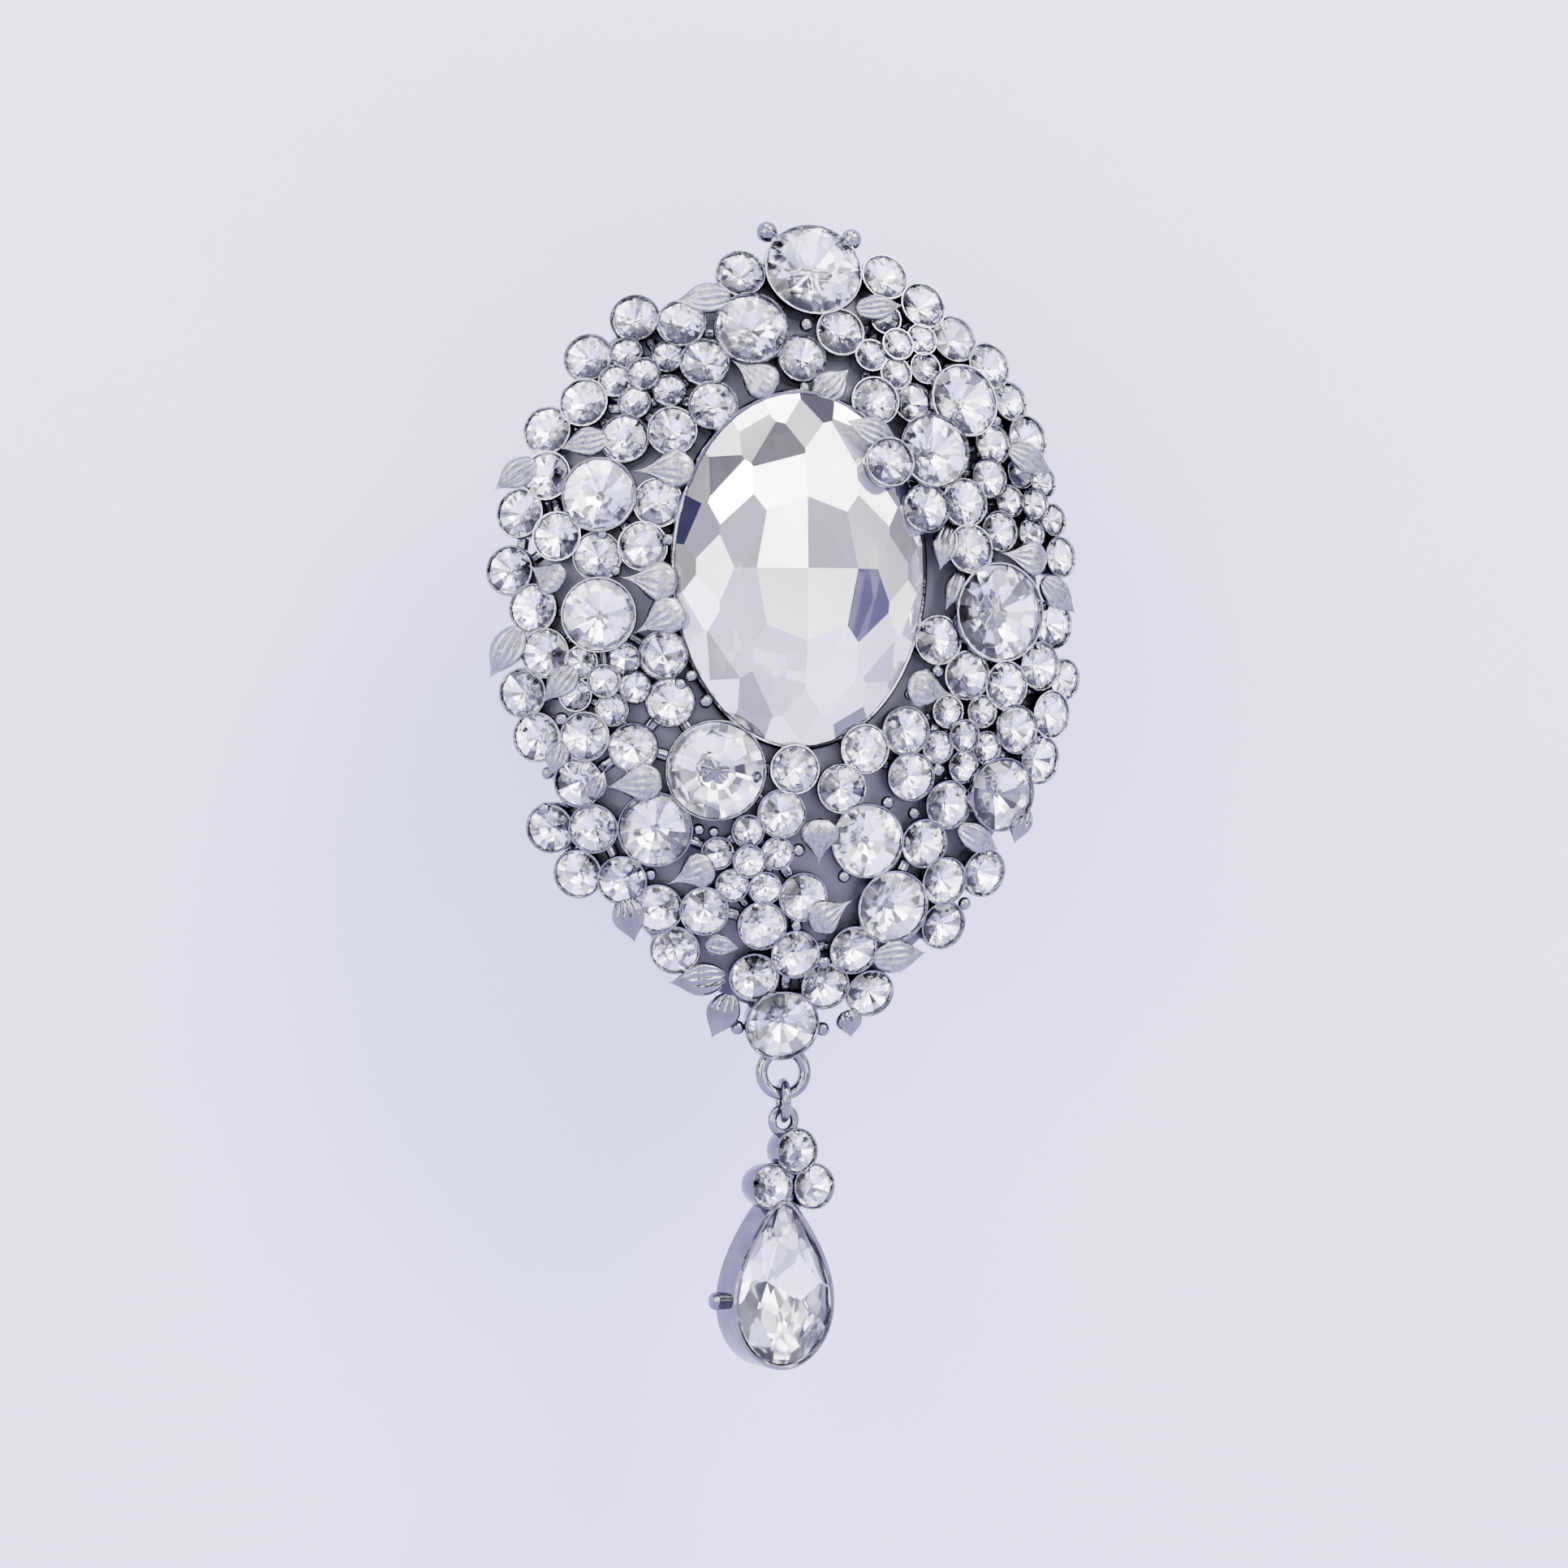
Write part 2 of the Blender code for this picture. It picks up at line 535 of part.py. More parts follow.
def make_collar(parts, joins, cutters, metal):
    """The slotted collar that turns between the cheeks and shuts the stem in, with its thumb tab."""
    across = Matrix.Translation((CATCH_X, 0, 0)) @ Matrix.Rotation(math.radians(90), 4, "Y")
    collar = rod("catch_collar", CATCH_RADIUS, COLLAR_WIDTH, across, parts, metal)
    tab = Matrix.Translation((CATCH_X, 0, CATCH_RADIUS))
    box("collar_tab", (COLLAR_WIDTH / 2, STEM_RADIUS, 2 * COLLAR_TAB), tab, joins)
    place = Matrix.Translation((CATCH_X, CATCH_RADIUS, 0))
    box("collar_slot", (2 * COLLAR_WIDTH, 2 * CATCH_RADIUS, 2 * CATCH_BORE), place, cutters)
    rod("collar_bore", CATCH_BORE, 2 * COLLAR_WIDTH, across, cutters)
    boolean(collar, joins, "UNION")
    boolean(collar, cutters, "DIFFERENCE")


# The bar lies just inside the dome, under its ends and the oval setting's foot, and so sets where
# the stem and the origin are.
HINGE_X = BAR_LENGTH / 2 - HINGE_INSET
CATCH_X = -HINGE_X
OVAL_FOOT = OVAL_SEAT - OVAL_PAVILION - STONE_GAP - OVAL_FLOOR
BAR_END_ROOM = plate_back(BAR_LENGTH / 2, PIN_HEIGHT + BAR_WIDTH / 2)
BAR_FRONT_HEIGHT = min(BAR_END_ROOM, OVAL_FOOT) - BAR_SOLDER
STEM_HEIGHT = BAR_FRONT_HEIGHT - BAR_THICKNESS - STEM_CLEAR - STEM_RADIUS
BAR_BACK = -(STEM_CLEAR + STEM_RADIUS)
CATCH_BORE = STEM_RADIUS + CATCH_BORE_GAP
# The eye hangs from the plate's lowest edge, the link through the eye, the drop on the link.
EYE_PLACE = at(0, EYE_DEPTH, PLATE_MIDDLE - PLATE_HALF_HEIGHT - EYE_RADIUS - EYE_WIRE / 2 + EYE_OVERLAP)
LINK_TOP = EYE_PLACE.z - EYE_RADIUS + (EYE_WIRE + LINK_WIRE) / 2 + LINK_GAP
LINK_PLACE = Vector((0, EYE_PLACE.y, LINK_TOP - LINK_RADIUS))
DROP_EYE_TOP = LINK_PLACE.z - LINK_RADIUS + (LINK_WIRE + DROP_EYE_WIRE) / 2 + LINK_GAP
DROP_EYE_PLACE = Vector((0, EYE_PLACE.y, DROP_EYE_TOP - DROP_EYE_RADIUS))


def main():
    for obj in list(bpy.data.objects):
        bpy.data.objects.remove(obj, do_unlink=True)
    parts = new_collection("hair_pin")
    metal = new_material("Rhodium plate", (0.78, 0.78, 0.82), 0.15, 1.0)
    crystal = new_material("Cut crystal", (0.85, 0.85, 0.93), 0.02, 0.0, 0.6)

    def tools(name):
        return new_collection(name, hidden=True)

    radii = ((LARGE_RADIUS, LARGE_STONES), (MEDIUM_RADIUS, MEDIUM_STONES),
             (SMALL_RADIUS, SMALL_STONES), (SLIM_RADIUS, SLIM_STONES),
             (TINY_RADIUS, tuple(flower_stones())))
    rows = [(radius, *place) for radius, places in radii for place in places]
    stones = [(row[0], x, z, row[3] * MM) for row, (x, z) in zip(rows, settled(rows))]
    pockets = tools("face_pockets")
    counts = (("large", len(LARGE_STONES), len(LARGE_STONES)),
              ("medium", len(MEDIUM_STONES), len(MEDIUM_STONES)),
              ("small", len(SMALL_STONES), SEPARATE_SMALL_STONES))
    start = 0
    for size, count, separate in counts:
        for i, (radius, x, z, lift) in enumerate(stones[start:start + separate], 1):
            frame = seat(x, z, lift)
            round_stone(f"{size}_stone_{i:02d}", radius, frame, parts, crystal)
            pocket(f"{size}_pocket_{i:02d}", radius, frame, pockets)
        start += count
    make_casting(stones, parts, tools("face_settings"), pockets, metal)
    make_oval_stone(parts, crystal)
    make_link(parts, metal)
    make_drop(parts, tools("drop_settings"), tools("drop_pockets"), metal, crystal)
    make_bar(parts, tools("bar_ears"), tools("bar_holes"), metal)
    make_rivet(parts, metal)
    make_stem(parts, tools("stem_joins"), tools("stem_holes"), metal)
    make_catch(parts, tools("catch_joins"), tools("catch_slots"), metal)
    make_collar(parts, tools("collar_joins"), tools("collar_slots"), metal)


main()
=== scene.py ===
import math

import bmesh
import bpy
import numpy as np
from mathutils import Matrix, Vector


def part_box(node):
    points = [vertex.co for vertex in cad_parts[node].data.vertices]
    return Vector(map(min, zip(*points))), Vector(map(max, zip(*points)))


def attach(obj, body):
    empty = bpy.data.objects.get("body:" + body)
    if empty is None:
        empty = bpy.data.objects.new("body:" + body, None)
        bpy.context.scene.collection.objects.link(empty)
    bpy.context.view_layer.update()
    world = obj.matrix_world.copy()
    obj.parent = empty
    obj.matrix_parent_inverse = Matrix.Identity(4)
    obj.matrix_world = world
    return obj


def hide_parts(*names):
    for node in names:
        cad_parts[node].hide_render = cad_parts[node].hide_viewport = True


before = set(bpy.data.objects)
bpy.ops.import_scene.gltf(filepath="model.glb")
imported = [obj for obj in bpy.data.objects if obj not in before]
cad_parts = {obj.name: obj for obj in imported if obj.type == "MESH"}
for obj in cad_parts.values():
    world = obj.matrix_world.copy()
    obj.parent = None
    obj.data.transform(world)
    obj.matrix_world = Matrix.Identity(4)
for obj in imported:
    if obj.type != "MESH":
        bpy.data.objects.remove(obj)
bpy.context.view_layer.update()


# The casting's face. One white-metal casting carries every stone: a shallow dome, egg-shaped in
# plan, with a cup for each stone at a right angle to the dome. Places on the face are read from
# the middle of the oval stone, x to the right and z up, and height stands towards the viewer.

MM = 0.001
HALF_WIDTH, HALF_HEIGHT, MIDDLE = 25.5 * MM, 35.9 * MM, -6.3 * MM
RISE = 5.3 * MM
GIRDLE_ABOVE_BACK = 3.2 * MM
PIN_HEIGHT = 10.0 * MM
OVAL_WIDTH, OVAL_HEIGHT = 11.0 * MM, 15.3 * MM
STONE_SIZES = {
    "large": 4.15 * MM, "medium": 3.05 * MM, "small": 1.95 * MM, "slim": 1.6 * MM, "tiny": 1.25 * MM
}
SETTLING_ROUNDS, SHARE_OF_PUSH, OUTERMOST, SPACING = 200, 0.5, 0.985, 0.12 * MM
RAISED = 1 * MM  # a stone lifted by more may reach over the oval stone by as much as its lift
FACE_STONES = {
    "large": ((2, 26.5, 0), (-7.5, -17.5, 0.5), (18, -3.5, 0.8)),
    "medium": (
        (-4, 21, 0.4), (-17.5, 6.5, 0.4), (-17.5, -3.5, 0.4), (-12.5, -22.5, 0.4),
        (-0.5, -39.5, 0.4), (6, -23.5, 0.4), (8.5, -29.5, 0.4), (12.5, 11.5, 1.8), (16, 16, 0.8),
        (18.5, -19.5, 0.8),
    ),
    "small": (
        (-4.5, 26, 0), (-10, 21, 0), (-14, 21, 0), (-17, 18, 0), (-8, 18, 0), (-18.5, 14.5, 0),
        (-21.5, 12, 0), (-15, 11.5, 0), (-11, 12, 0), (-7.5, 14.5, 0.4), (-12.5, 5.5, 0),
        (-21.5, 8, 0), (-24.5, 5, 0), (-22, 3.5, 0), (-19.5, 1.5, 0), (-14.5, 2, 0),
        (-25, -0.5, 0), (-23, -3.5, 0), (-22, -7, 0), (-23.5, -10.5, 0), (-12, -7.5, 0),
        (-11.5, -11.5, 0), (-22.5, -14.5, 0), (-18.5, -14.5, 0), (-14.5, -15.5, 0),
        (-19, -18.5, 0), (-21, -22.5, 0), (-18, -22.5, 0.5), (-18.5, -26.5, 0), (-15.5, -27, 0.5),
        (-12, -29.5, 0), (-8, -29.5, 0), (-10.5, -33, 0), (-3, -31, 0), (-3.5, -35.5, 0),
        (0, -33.5, 0),
        (0.5, -28.5, 0), (-1.5, -21, 0), (-0.5, -17, 0), (4, -19, 0), (5.5, -15.5, 0),
        (9.5, -14, 0), (10, -18, 0), (13.5, -20.5, 0), (11.5, -24, 0), (13.5, -27, 0),
        (17, -26.5, 0), (13.5, -31, 0), (5, -33.5, 0), (2.5, -36.5, 0), (7, -37, 0), (15.5, -9, 0),
        (19.5, -10, 0), (23, -8.5, 0), (23.5, -12.5, 0), (20, -14, 0.4), (22, -16, 0),
        (8.5, 26, 0), (12, 23, 0), (4, 21, 0), (0.5, 18.5, 0), (15, 20, 0), (18.5, 19.5, 0),
        (8, 15.5, 0.4), (21, 13, 0), (7.5, 9, 3.2), (11.5, 5.5, 1.4), (14.5, 6, 0.8),
        (15.5, 1.5, 0.8), (12.5, -6, 0), (23.5, -5, 0),
    ),
    "slim": (
        (12, 16, 0), (21, 16.5, 0), (17, 12.5, 0), (17.5, 9, 0.4), (18.5, 4, 0), (24.5, 1.5, 0),
        (25, -9, -0.6),
    ),
}
# A flower is a tiny stone with five more round it: its place, and its first petal's direction.
FLOWERS = (
    (-13.5, 17.5, 104), (-17, -9.5, 67), (-4.5, -25.5, 90), (9.5, 19, 110), (22, 6.5, 117),
    (15, -14.5, 55),
)
PETALS, PETAL_REACH = 5, 2.75
petal_turns = np.arange(PETALS) * math.tau / PETALS
FACE_STONES["tiny"] = tuple(
    spot
    for x, z, first in FLOWERS
    for spot in [(x, z, 0.4)] + [
        (x + PETAL_REACH * math.cos(math.radians(first) + turn),
         z + PETAL_REACH * math.sin(math.radians(first) + turn), 0)
        for turn in petal_turns
    ]
)


def from_middle(x, z):
    """How far out on the dome a point is, 0 at its middle and 1 at its edge."""
    return np.hypot(x / HALF_WIDTH, (z - MIDDLE) / HALF_HEIGHT)


def dome(x, z):
    """The dome's back: a rise that falls off with the cube of the way to the edge."""
    return RISE * (1 - from_middle(x, z) ** 3)


STEM_HEIGHT = dome(17 * MM, PIN_HEIGHT + 2 * MM) - 3.8 * MM


def on_face(x, z, height):
    """The place of a point of the face, or of arrays of them."""
    x, z, height = np.broadcast_arrays(x, z, height)
    return np.stack([x, STEM_HEIGHT - height, z - PIN_HEIGHT], axis=-1)


def settled(radius, place, lift):
    """Each pair of stones that meet in space is moved apart by a part of what they overlap, round
    by round and the smaller one more, clear of the oval stone and inside the plate's edge."""
    apart = radius[:, None] + radius[None, :] + SPACING
    yields = radius[None, :] ** 2 / (radius[:, None] ** 2 + radius[None, :] ** 2)
    oval = np.array((OVAL_WIDTH, OVAL_HEIGHT)) + SPACING
    middle = np.array((0, MIDDLE))
    over_oval = np.where(lift < RAISED, 0, lift)
    np.fill_diagonal(apart, 0)
    for _ in range(SETTLING_ROUNDS):
        height = dome(place[:, 0], place[:, 1]) + lift
        between = place[:, None] - place[None, :]
        step = height[:, None] - height[None, :]
        distance = np.maximum(np.hypot(np.linalg.norm(between, axis=2), step), 1e-9)
        push = yields * np.clip(apart - distance, 0, None) / distance
        place = place + SHARE_OF_PUSH * (between * push[:, :, None]).sum(axis=1)
        out = np.linalg.norm(place / (oval + (radius - over_oval)[:, None]), axis=1)
        place /= np.minimum(out, 1)[:, None]
        spread = (place - middle) / (HALF_WIDTH, HALF_HEIGHT)
        over = np.maximum(np.linalg.norm(spread, axis=1) / OUTERMOST, 1)
        place = middle + (place - middle) / over[:, None]
    return place


def frames_out_of(normals):
    """Square frames whose third row is the normal and whose second row is upward along the face."""
    normals = normals / np.linalg.norm(normals, axis=-1, keepdims=True)
    up = np.array((0.0, 0.0, 1.0)) - normals[..., 2:] * normals
    up /= np.linalg.norm(up, axis=-1, keepdims=True)
    return np.stack([np.cross(up, normals), up, normals], axis=-2)


def seats(x, z, lift):
    """The centre of each girdle and its frame: the third row is the dome's normal."""
    steep = 3 * RISE * from_middle(x, z)
    lean = np.stack(
        [steep * x / HALF_WIDTH**2, -np.ones_like(x), steep * (z - MIDDLE) / HALF_HEIGHT**2], axis=-1
    )
    return on_face(x, z, dome(x, z) + GIRDLE_ABOVE_BACK + lift), frames_out_of(lean)


sizes = [size for size in STONE_SIZES for _ in FACE_STONES[size]]
rows = np.array([spot for size in STONE_SIZES for spot in FACE_STONES[size]], float)
stone_radius = np.array([STONE_SIZES[size] for size in sizes])
stone_place = settled(stone_radius, rows[:, :2] * MM, rows[:, 2] * MM)
stone_centre, stone_frame = seats(stone_place[:, 0], stone_place[:, 1], rows[:, 2] * MM)
of_size = {size: np.array([s == size for s in sizes]) for size in STONE_SIZES}


class Socket:
    """A shader socket. Sums and products with it add Math nodes."""

    def __init__(self, surface, socket):
        self.surface, self.socket = surface, socket

    def maths(self, operation, first, second):
        return self.surface.node("ShaderNodeMath", {"operation": operation}, {0: first, 1: second})

    def __add__(self, other):
        return self.maths("ADD", self, other)

    def __mul__(self, other):
        return self.maths("MULTIPLY", self, other)

    __radd__ = __add__
    __rmul__ = __mul__


class Surface:
    """A Principled material, with its constants set on the shader's own sockets."""

    def __init__(self, name, constants):
        self.material = bpy.data.materials.new(name)
        self.material.use_nodes = True
        self.tree = self.material.node_tree
        self.shader = self.tree.nodes["Principled BSDF"]
        for socket, value in constants.items():
            self.shader.inputs[socket].default_value = value

    def node(self, kind, settings, inputs, output=0):
        made = self.tree.nodes.new(kind)
        for key, value in settings.items():
            if key == "stops":
                for _ in value[2:]:
                    made.color_ramp.elements.new(1)
                for stop, (place, colour) in zip(made.color_ramp.elements, value):
                    stop.position, stop.color = place, (*colour, 1)
            else:
                setattr(made, key, value)
        for key, value in inputs.items():
            self.put(made.inputs[key], value)
        return Socket(self, made.outputs[output])

    def put(self, socket, value):
        if isinstance(value, Socket):
            self.tree.links.new(value.socket, socket)
        else:
            socket.default_value = value

    def noise(self, scale, detail=2.0):
        where = self.node("ShaderNodeTexCoord", {}, {}, "Object")
        return self.node("ShaderNodeTexNoise", {}, {"Vector": where, "Scale": scale, "Detail": detail})

    def between(self, first, second, mask):
        """A colour from the first to the second as the mask goes from 0 to 1."""
        return self.node(
            "ShaderNodeMix", {"data_type": "RGBA"},
            {"Factor": mask, 6: (*first, 1), 7: (*second, 1)}, 2,
        )

    def bump(self, height, strength, distance):
        made = self.node("ShaderNodeBump", {}, {"Height": height, "Strength": strength, "Distance": distance})
        self.put(self.shader.inputs["Normal"], made)

    def feed(self, name, value):
        self.put(self.shader.inputs[name], value)


# Rhodium plate over polished white metal: bright, a little wavy from polishing by hand.
plate = Surface("bright_rhodium_plate", {"Metallic": 1.0})
plate.feed("Base Color", plate.between((0.05, 0.05, 0.06), (0.23, 0.23, 0.255), plate.noise(420)))
plate.feed("Roughness", 0.04 + 0.12 * plate.noise(1500))
plate.bump(plate.noise(1100, 3.0), 0.25, 0.1 * MM)


def new_piece(name, points, faces, materials, smooth_angle=35, attribute=None, slots=None):
    """A piece from its points and faces, with doubles merged and facets sharper than the angle kept."""
    mesh = bpy.data.meshes.new(name)
    mesh.from_pydata(points.reshape(-1, 3).tolist(), [], faces)
    if attribute is not None:
        values = mesh.attributes.new("facet", "FLOAT", "FACE")
        values.data.foreach_set("value", attribute)
    if slots is not None:
        mesh.polygons.foreach_set("material_index", slots)
    made = bmesh.new()
    made.from_mesh(mesh)
    bmesh.ops.remove_doubles(made, verts=made.verts, dist=0.001 * MM)
    bmesh.ops.dissolve_degenerate(made, edges=made.edges, dist=0.0005 * MM)
    made.to_mesh(mesh)
    made.free()
    for material in materials:
        mesh.materials.append(material)
    if smooth_angle:
        mesh.shade_smooth()
        mesh.set_sharp_from_angle(angle=math.radians(smooth_angle))
    piece = bpy.data.objects.new(name, mesh)
    bpy.context.scene.collection.objects.link(piece)
    return piece


def grid_faces(copies, rows, columns, wrap_rows=False):
    """The four-sided faces of equal grids that close round their columns, and their rows if asked."""
    row = np.arange(rows if wrap_rows else rows - 1)[:, None]
    column = np.arange(columns)[None, :]
    after, beside = (row + 1) % rows, (column + 1) % columns
    corners = [
        row * columns + column, row * columns + beside, after * columns + beside, after * columns + column
    ]
    quads = np.stack([np.broadcast_to(c, (row.size, columns)) for c in corners], axis=-1).reshape(-1, 4)
    return (quads[None] + np.arange(copies)[:, None, None] * rows * columns).reshape(-1, 4).tolist()


def turned(profile, sides, centres, frames):
    """A profile of (radius, height) turned about each frame's third row:
    point = centre + radius (cos t right + sin t up) + height out."""
    profile = np.asarray(profile)
    t = np.arange(sides) * math.tau / sides
    radius, height = profile[:, :1], profile[:, 1:]
    local = np.stack(
        [radius * np.cos(t), radius * np.sin(t), height + 0 * t], axis=-1
    )
    return centres[:, None, None] + np.einsum("rsk,nkj->nrsj", local, frames)


# The cups: each a cast tub with a thin burnished lip over the stone's edge, a straight wall and a
# closed foot. They touch, and that holds the face together.

CUP_SIDES = {"large": 40, "medium": 32, "small": 24, "slim": 24, "tiny": 16}
CUP_DEPTH = {"large": 2.9 * MM, "medium": 2.5 * MM, "small": 2.1 * MM, "slim": 1.9 * MM, "tiny": 1.7 * MM}
CUP_GAP = 0.06 * MM
LIP = 0.24 * MM
LIP_HEIGHT = 0.24 * MM


def cup_profile(radius, depth):
    """An outline from the axis to the axis: foot, outer wall, round lip, inner wall and floor."""
    inner, outer = radius + CUP_GAP, radius + CUP_GAP + LIP
    return np.array([
        (0, -depth), (0.86 * outer, -depth), (0.97 * outer, -0.55 * depth),
        (outer, -0.1 * MM), (outer - 0.03 * MM, 0.7 * LIP_HEIGHT), (outer - 0.3 * LIP, LIP_HEIGHT),
        (inner + 0.3 * LIP, LIP_HEIGHT), (inner, 0.6 * LIP_HEIGHT), (inner, -0.25 * MM),
        (0.7 * radius, -0.72 * depth), (0, -0.72 * depth),
    ])


for size, radius in STONE_SIZES.items():
    mine = of_size[size]
    sides = CUP_SIDES[size]
    profile = cup_profile(radius, CUP_DEPTH[size])
    points = turned(profile, sides, stone_centre[mine], stone_frame[mine])
    faces = grid_faces(int(mine.sum()), len(profile), sides)
    cups = new_piece(f"{size}_cups", points, faces, [plate.material])
    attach(cups, "root")
    if size == "large":
        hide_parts("base_casting")


# The plate behind the cups: the casting's closed domed back, as cast and dull. Its dark colour is
# painted shade, standing in for the shadow that shows between the stones. It stops short of the edge,
# where the outermost cups stand out past it.

PLATE_REACH = 0.9
PLATE_NARROWING = 0.2  # how much its lowest end closes in
PLATE_THICKNESS = 1.2 * MM
PLATE_RINGS, PLATE_SIDES = 26, 120

painted_shade_back = Surface("dull_casting_painted_shade", {})
cast_grain = painted_shade_back.noise(1300, 4.0)
# Painted shade: a dark colour for the shadow between the stones, varied by the cast grain.
painted_shade_back.feed("Base Color", painted_shade_back.between((0.10, 0.10, 0.115), (0.16, 0.16, 0.185), cast_grain))
painted_shade_back.feed("Metallic", 0.35 + 0.2 * cast_grain)
painted_shade_back.feed("Roughness", 0.42 + 0.25 * cast_grain)
painted_shade_back.bump(cast_grain, 0.4, 0.1 * MM)


def plate_shell():
    """Rings of the dome: out along its front to the edge and back along its rear, each ring at
    (share of half width cos t, middle + share of half height sin t), narrower below by sin t squared."""
    out = np.linspace(0, PLATE_REACH, PLATE_RINGS)
    share = np.concatenate([out, out[::-1]])[:, None]
    thick = np.repeat((PLATE_THICKNESS, 0), PLATE_RINGS)[:, None]
    t = (np.arange(PLATE_SIDES) * math.tau / PLATE_SIDES)[None, :]
    x = share * HALF_WIDTH * np.cos(t) * (1 - PLATE_NARROWING * np.clip(-np.sin(t), 0, 1) ** 2)
    z = MIDDLE + share * HALF_HEIGHT * np.sin(t)
    return on_face(x, z, dome(x, z) + thick)


back_plate = new_piece(
    "back_plate", plate_shell(), grid_faces(1, 2 * PLATE_RINGS, PLATE_SIDES), [painted_shade_back.material]
)
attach(back_plate, "root")


# The web under the cups: short cast bars from cup to cup, low down, that tie them together.

BAR_REACH = 1.6 * MM
BAR_HALF_WIDTH, BAR_HALF_DEPTH = 0.55 * MM, 0.4 * MM
BAR_SIDES = 8
WEB_BELOW_GIRDLE = 1.75 * MM


def bars(starts, ends, half_width, half_depth, sides):
    """Straight bars of oval section: each end ring is its end plus (cos t across, sin t deep)."""
    along = ends - starts
    along /= np.linalg.norm(along, axis=1, keepdims=True)
    deep = np.broadcast_to((0.0, 1.0, 0.0), along.shape)
    deep = deep - (deep * along).sum(axis=1, keepdims=True) * along
    deep /= np.linalg.norm(deep, axis=1, keepdims=True)
    across = np.cross(along, deep)
    t = (np.arange(sides) * math.tau / sides)[None, :, None]
    ring = half_width * np.cos(t) * across[:, None] + half_depth * np.sin(t) * deep[:, None]
    return np.stack([starts[:, None] + 0 * ring, starts[:, None] + ring, ends[:, None] + ring,
                     ends[:, None] + 0 * ring], axis=1)


low_centre = stone_centre - WEB_BELOW_GIRDLE * stone_frame[:, 2]
apart = np.linalg.norm(stone_place[:, None] - stone_place[None, :], axis=2)
near = apart < stone_radius[:, None] + stone_radius[None, :] + BAR_REACH
first, second = np.nonzero(np.triu(near, 1))
web = new_piece(
    "casting_web", bars(low_centre[first], low_centre[second], BAR_HALF_WIDTH, BAR_HALF_DEPTH, BAR_SIDES),
    grid_faces(len(first), 4, BAR_SIDES), [plate.material],
)
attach(web, "root")


# The oval setting: a plain polished collar, cast with the face, that stands round the big stone
# and is burnished over its edge. Its closed foot stands out of the dome's back.

OVAL_SEAT = 8.0 * MM
COLLAR_SIDES = 120
COLLAR_WALL = 0.42 * MM
COLLAR_FOOT = 3.0 * MM
FOOT_STEPS = ((0, 2.5), (1.0, 2.5), (0.97, 3.6), (0.84, 5.1), (0.78, 5.45), (0.74, 5.5), (0, 5.5))
FACE_FRAME = np.array(((1.0, 0, 0), (0, 0, 1.0), (0, -1.0, 0)))


def round_outline(half_width, half_height):
    """An oval: across half width cos t, up half height sin t."""
    return lambda t: np.stack([half_width * np.cos(t), half_height * np.sin(t)], axis=-1)


def collar(outline, profile, sides, centre, axes):
    """A profile of (outward, height) carried round an outline: point = outline(t) + outward
    times the outline's normal, at its height."""
    t = np.arange(sides) * math.tau / sides
    edge = outline(t)
    ahead = outline(t + 0.001) - outline(t - 0.001)
    normal = np.stack([ahead[:, 1], -ahead[:, 0]], axis=-1)
    normal /= np.linalg.norm(normal, axis=1, keepdims=True)
    profile = np.asarray(profile)
    flat = edge[None] + profile[:, None, :1] * normal[None]
    height = np.broadcast_to(profile[:, None, 1:], flat.shape[:2] + (1,))
    return centre + np.concatenate([flat, height], axis=-1) @ axes


oval_collar_profile = (
    (-1.2 * MM, -COLLAR_FOOT), (0.1 * MM, -COLLAR_FOOT), (COLLAR_WALL, -1.6 * MM),
    (COLLAR_WALL + 0.06 * MM, -0.3 * MM), (COLLAR_WALL, 0.15 * MM),
    (0.62 * COLLAR_WALL, 0.34 * MM), (0.22 * COLLAR_WALL, 0.3 * MM), (0.08 * MM, 0.15 * MM),
    (0.06 * MM, -0.4 * MM), (-1.0 * MM, -0.75 * COLLAR_FOOT),
)
oval_points = collar(
    round_outline(OVAL_WIDTH, OVAL_HEIGHT), oval_collar_profile, COLLAR_SIDES,
    on_face(0.0, 0.0, OVAL_SEAT), FACE_FRAME,
)
oval_collar = new_piece(
    "oval_collar", oval_points, grid_faces(1, len(oval_collar_profile), COLLAR_SIDES, wrap_rows=True),
    [plate.material],
)
# The foot's steps are (share of the oval, depth in millimetres), from its hidden front to its back.
foot_share, foot_depth = np.array(FOOT_STEPS).T[:, :, None]
foot_turn = np.arange(COLLAR_SIDES) * math.tau / COLLAR_SIDES
foot_points = on_face(
    foot_share * OVAL_WIDTH * np.cos(foot_turn), foot_share * OVAL_HEIGHT * np.sin(foot_turn),
    OVAL_SEAT - foot_depth * MM,
)
# The foot takes the same dark casting, whose colour is painted shade.
oval_foot = new_piece(
    "oval_foot", foot_points[::-1], grid_faces(1, len(FOOT_STEPS), COLLAR_SIDES), [painted_shade_back.material]
)
for piece in (oval_collar, oval_foot):
    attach(piece, "root")


# The leaves: cast petals and fans between the stones, grooved from base to tip. Most are
# scratch-brushed, and the few at the lower edge are left polished.

LEAVES = (
    (-5.5, 24, -10.5, 23.5, 1.4), (-16.5, 11.5, -20.5, 10.5, 1.3), (-22.5, 9.5, -26, 7, 1.3),
    (-24, -5, -26.5, -9.5, 1.4), (-19.5, -8.5, -22, -11.5, 1.3), (-20.5, -15, -21.5, -18, 1.0),
    (7, -34, 12, -33.5, 1.5), (14.5, -22.5, 18.5, -24.5, 1.3), (22.5, -0.5, 26, -3.5, 1.4),
    (19.5, 11, 24, 9, 1.4),
    (5.5, 23, 10, 23.5, 1.2), (13.5, 4, 12.5, 0, 1.3), (14.5, 0, 13, -3.5, 0.9),
    (-8, -32.5, -5, -33, 1.0), (-18, -20, -17, -17.5, 0.9), (1.5, 14.8, 4.6, 17.6, 1.5),
)
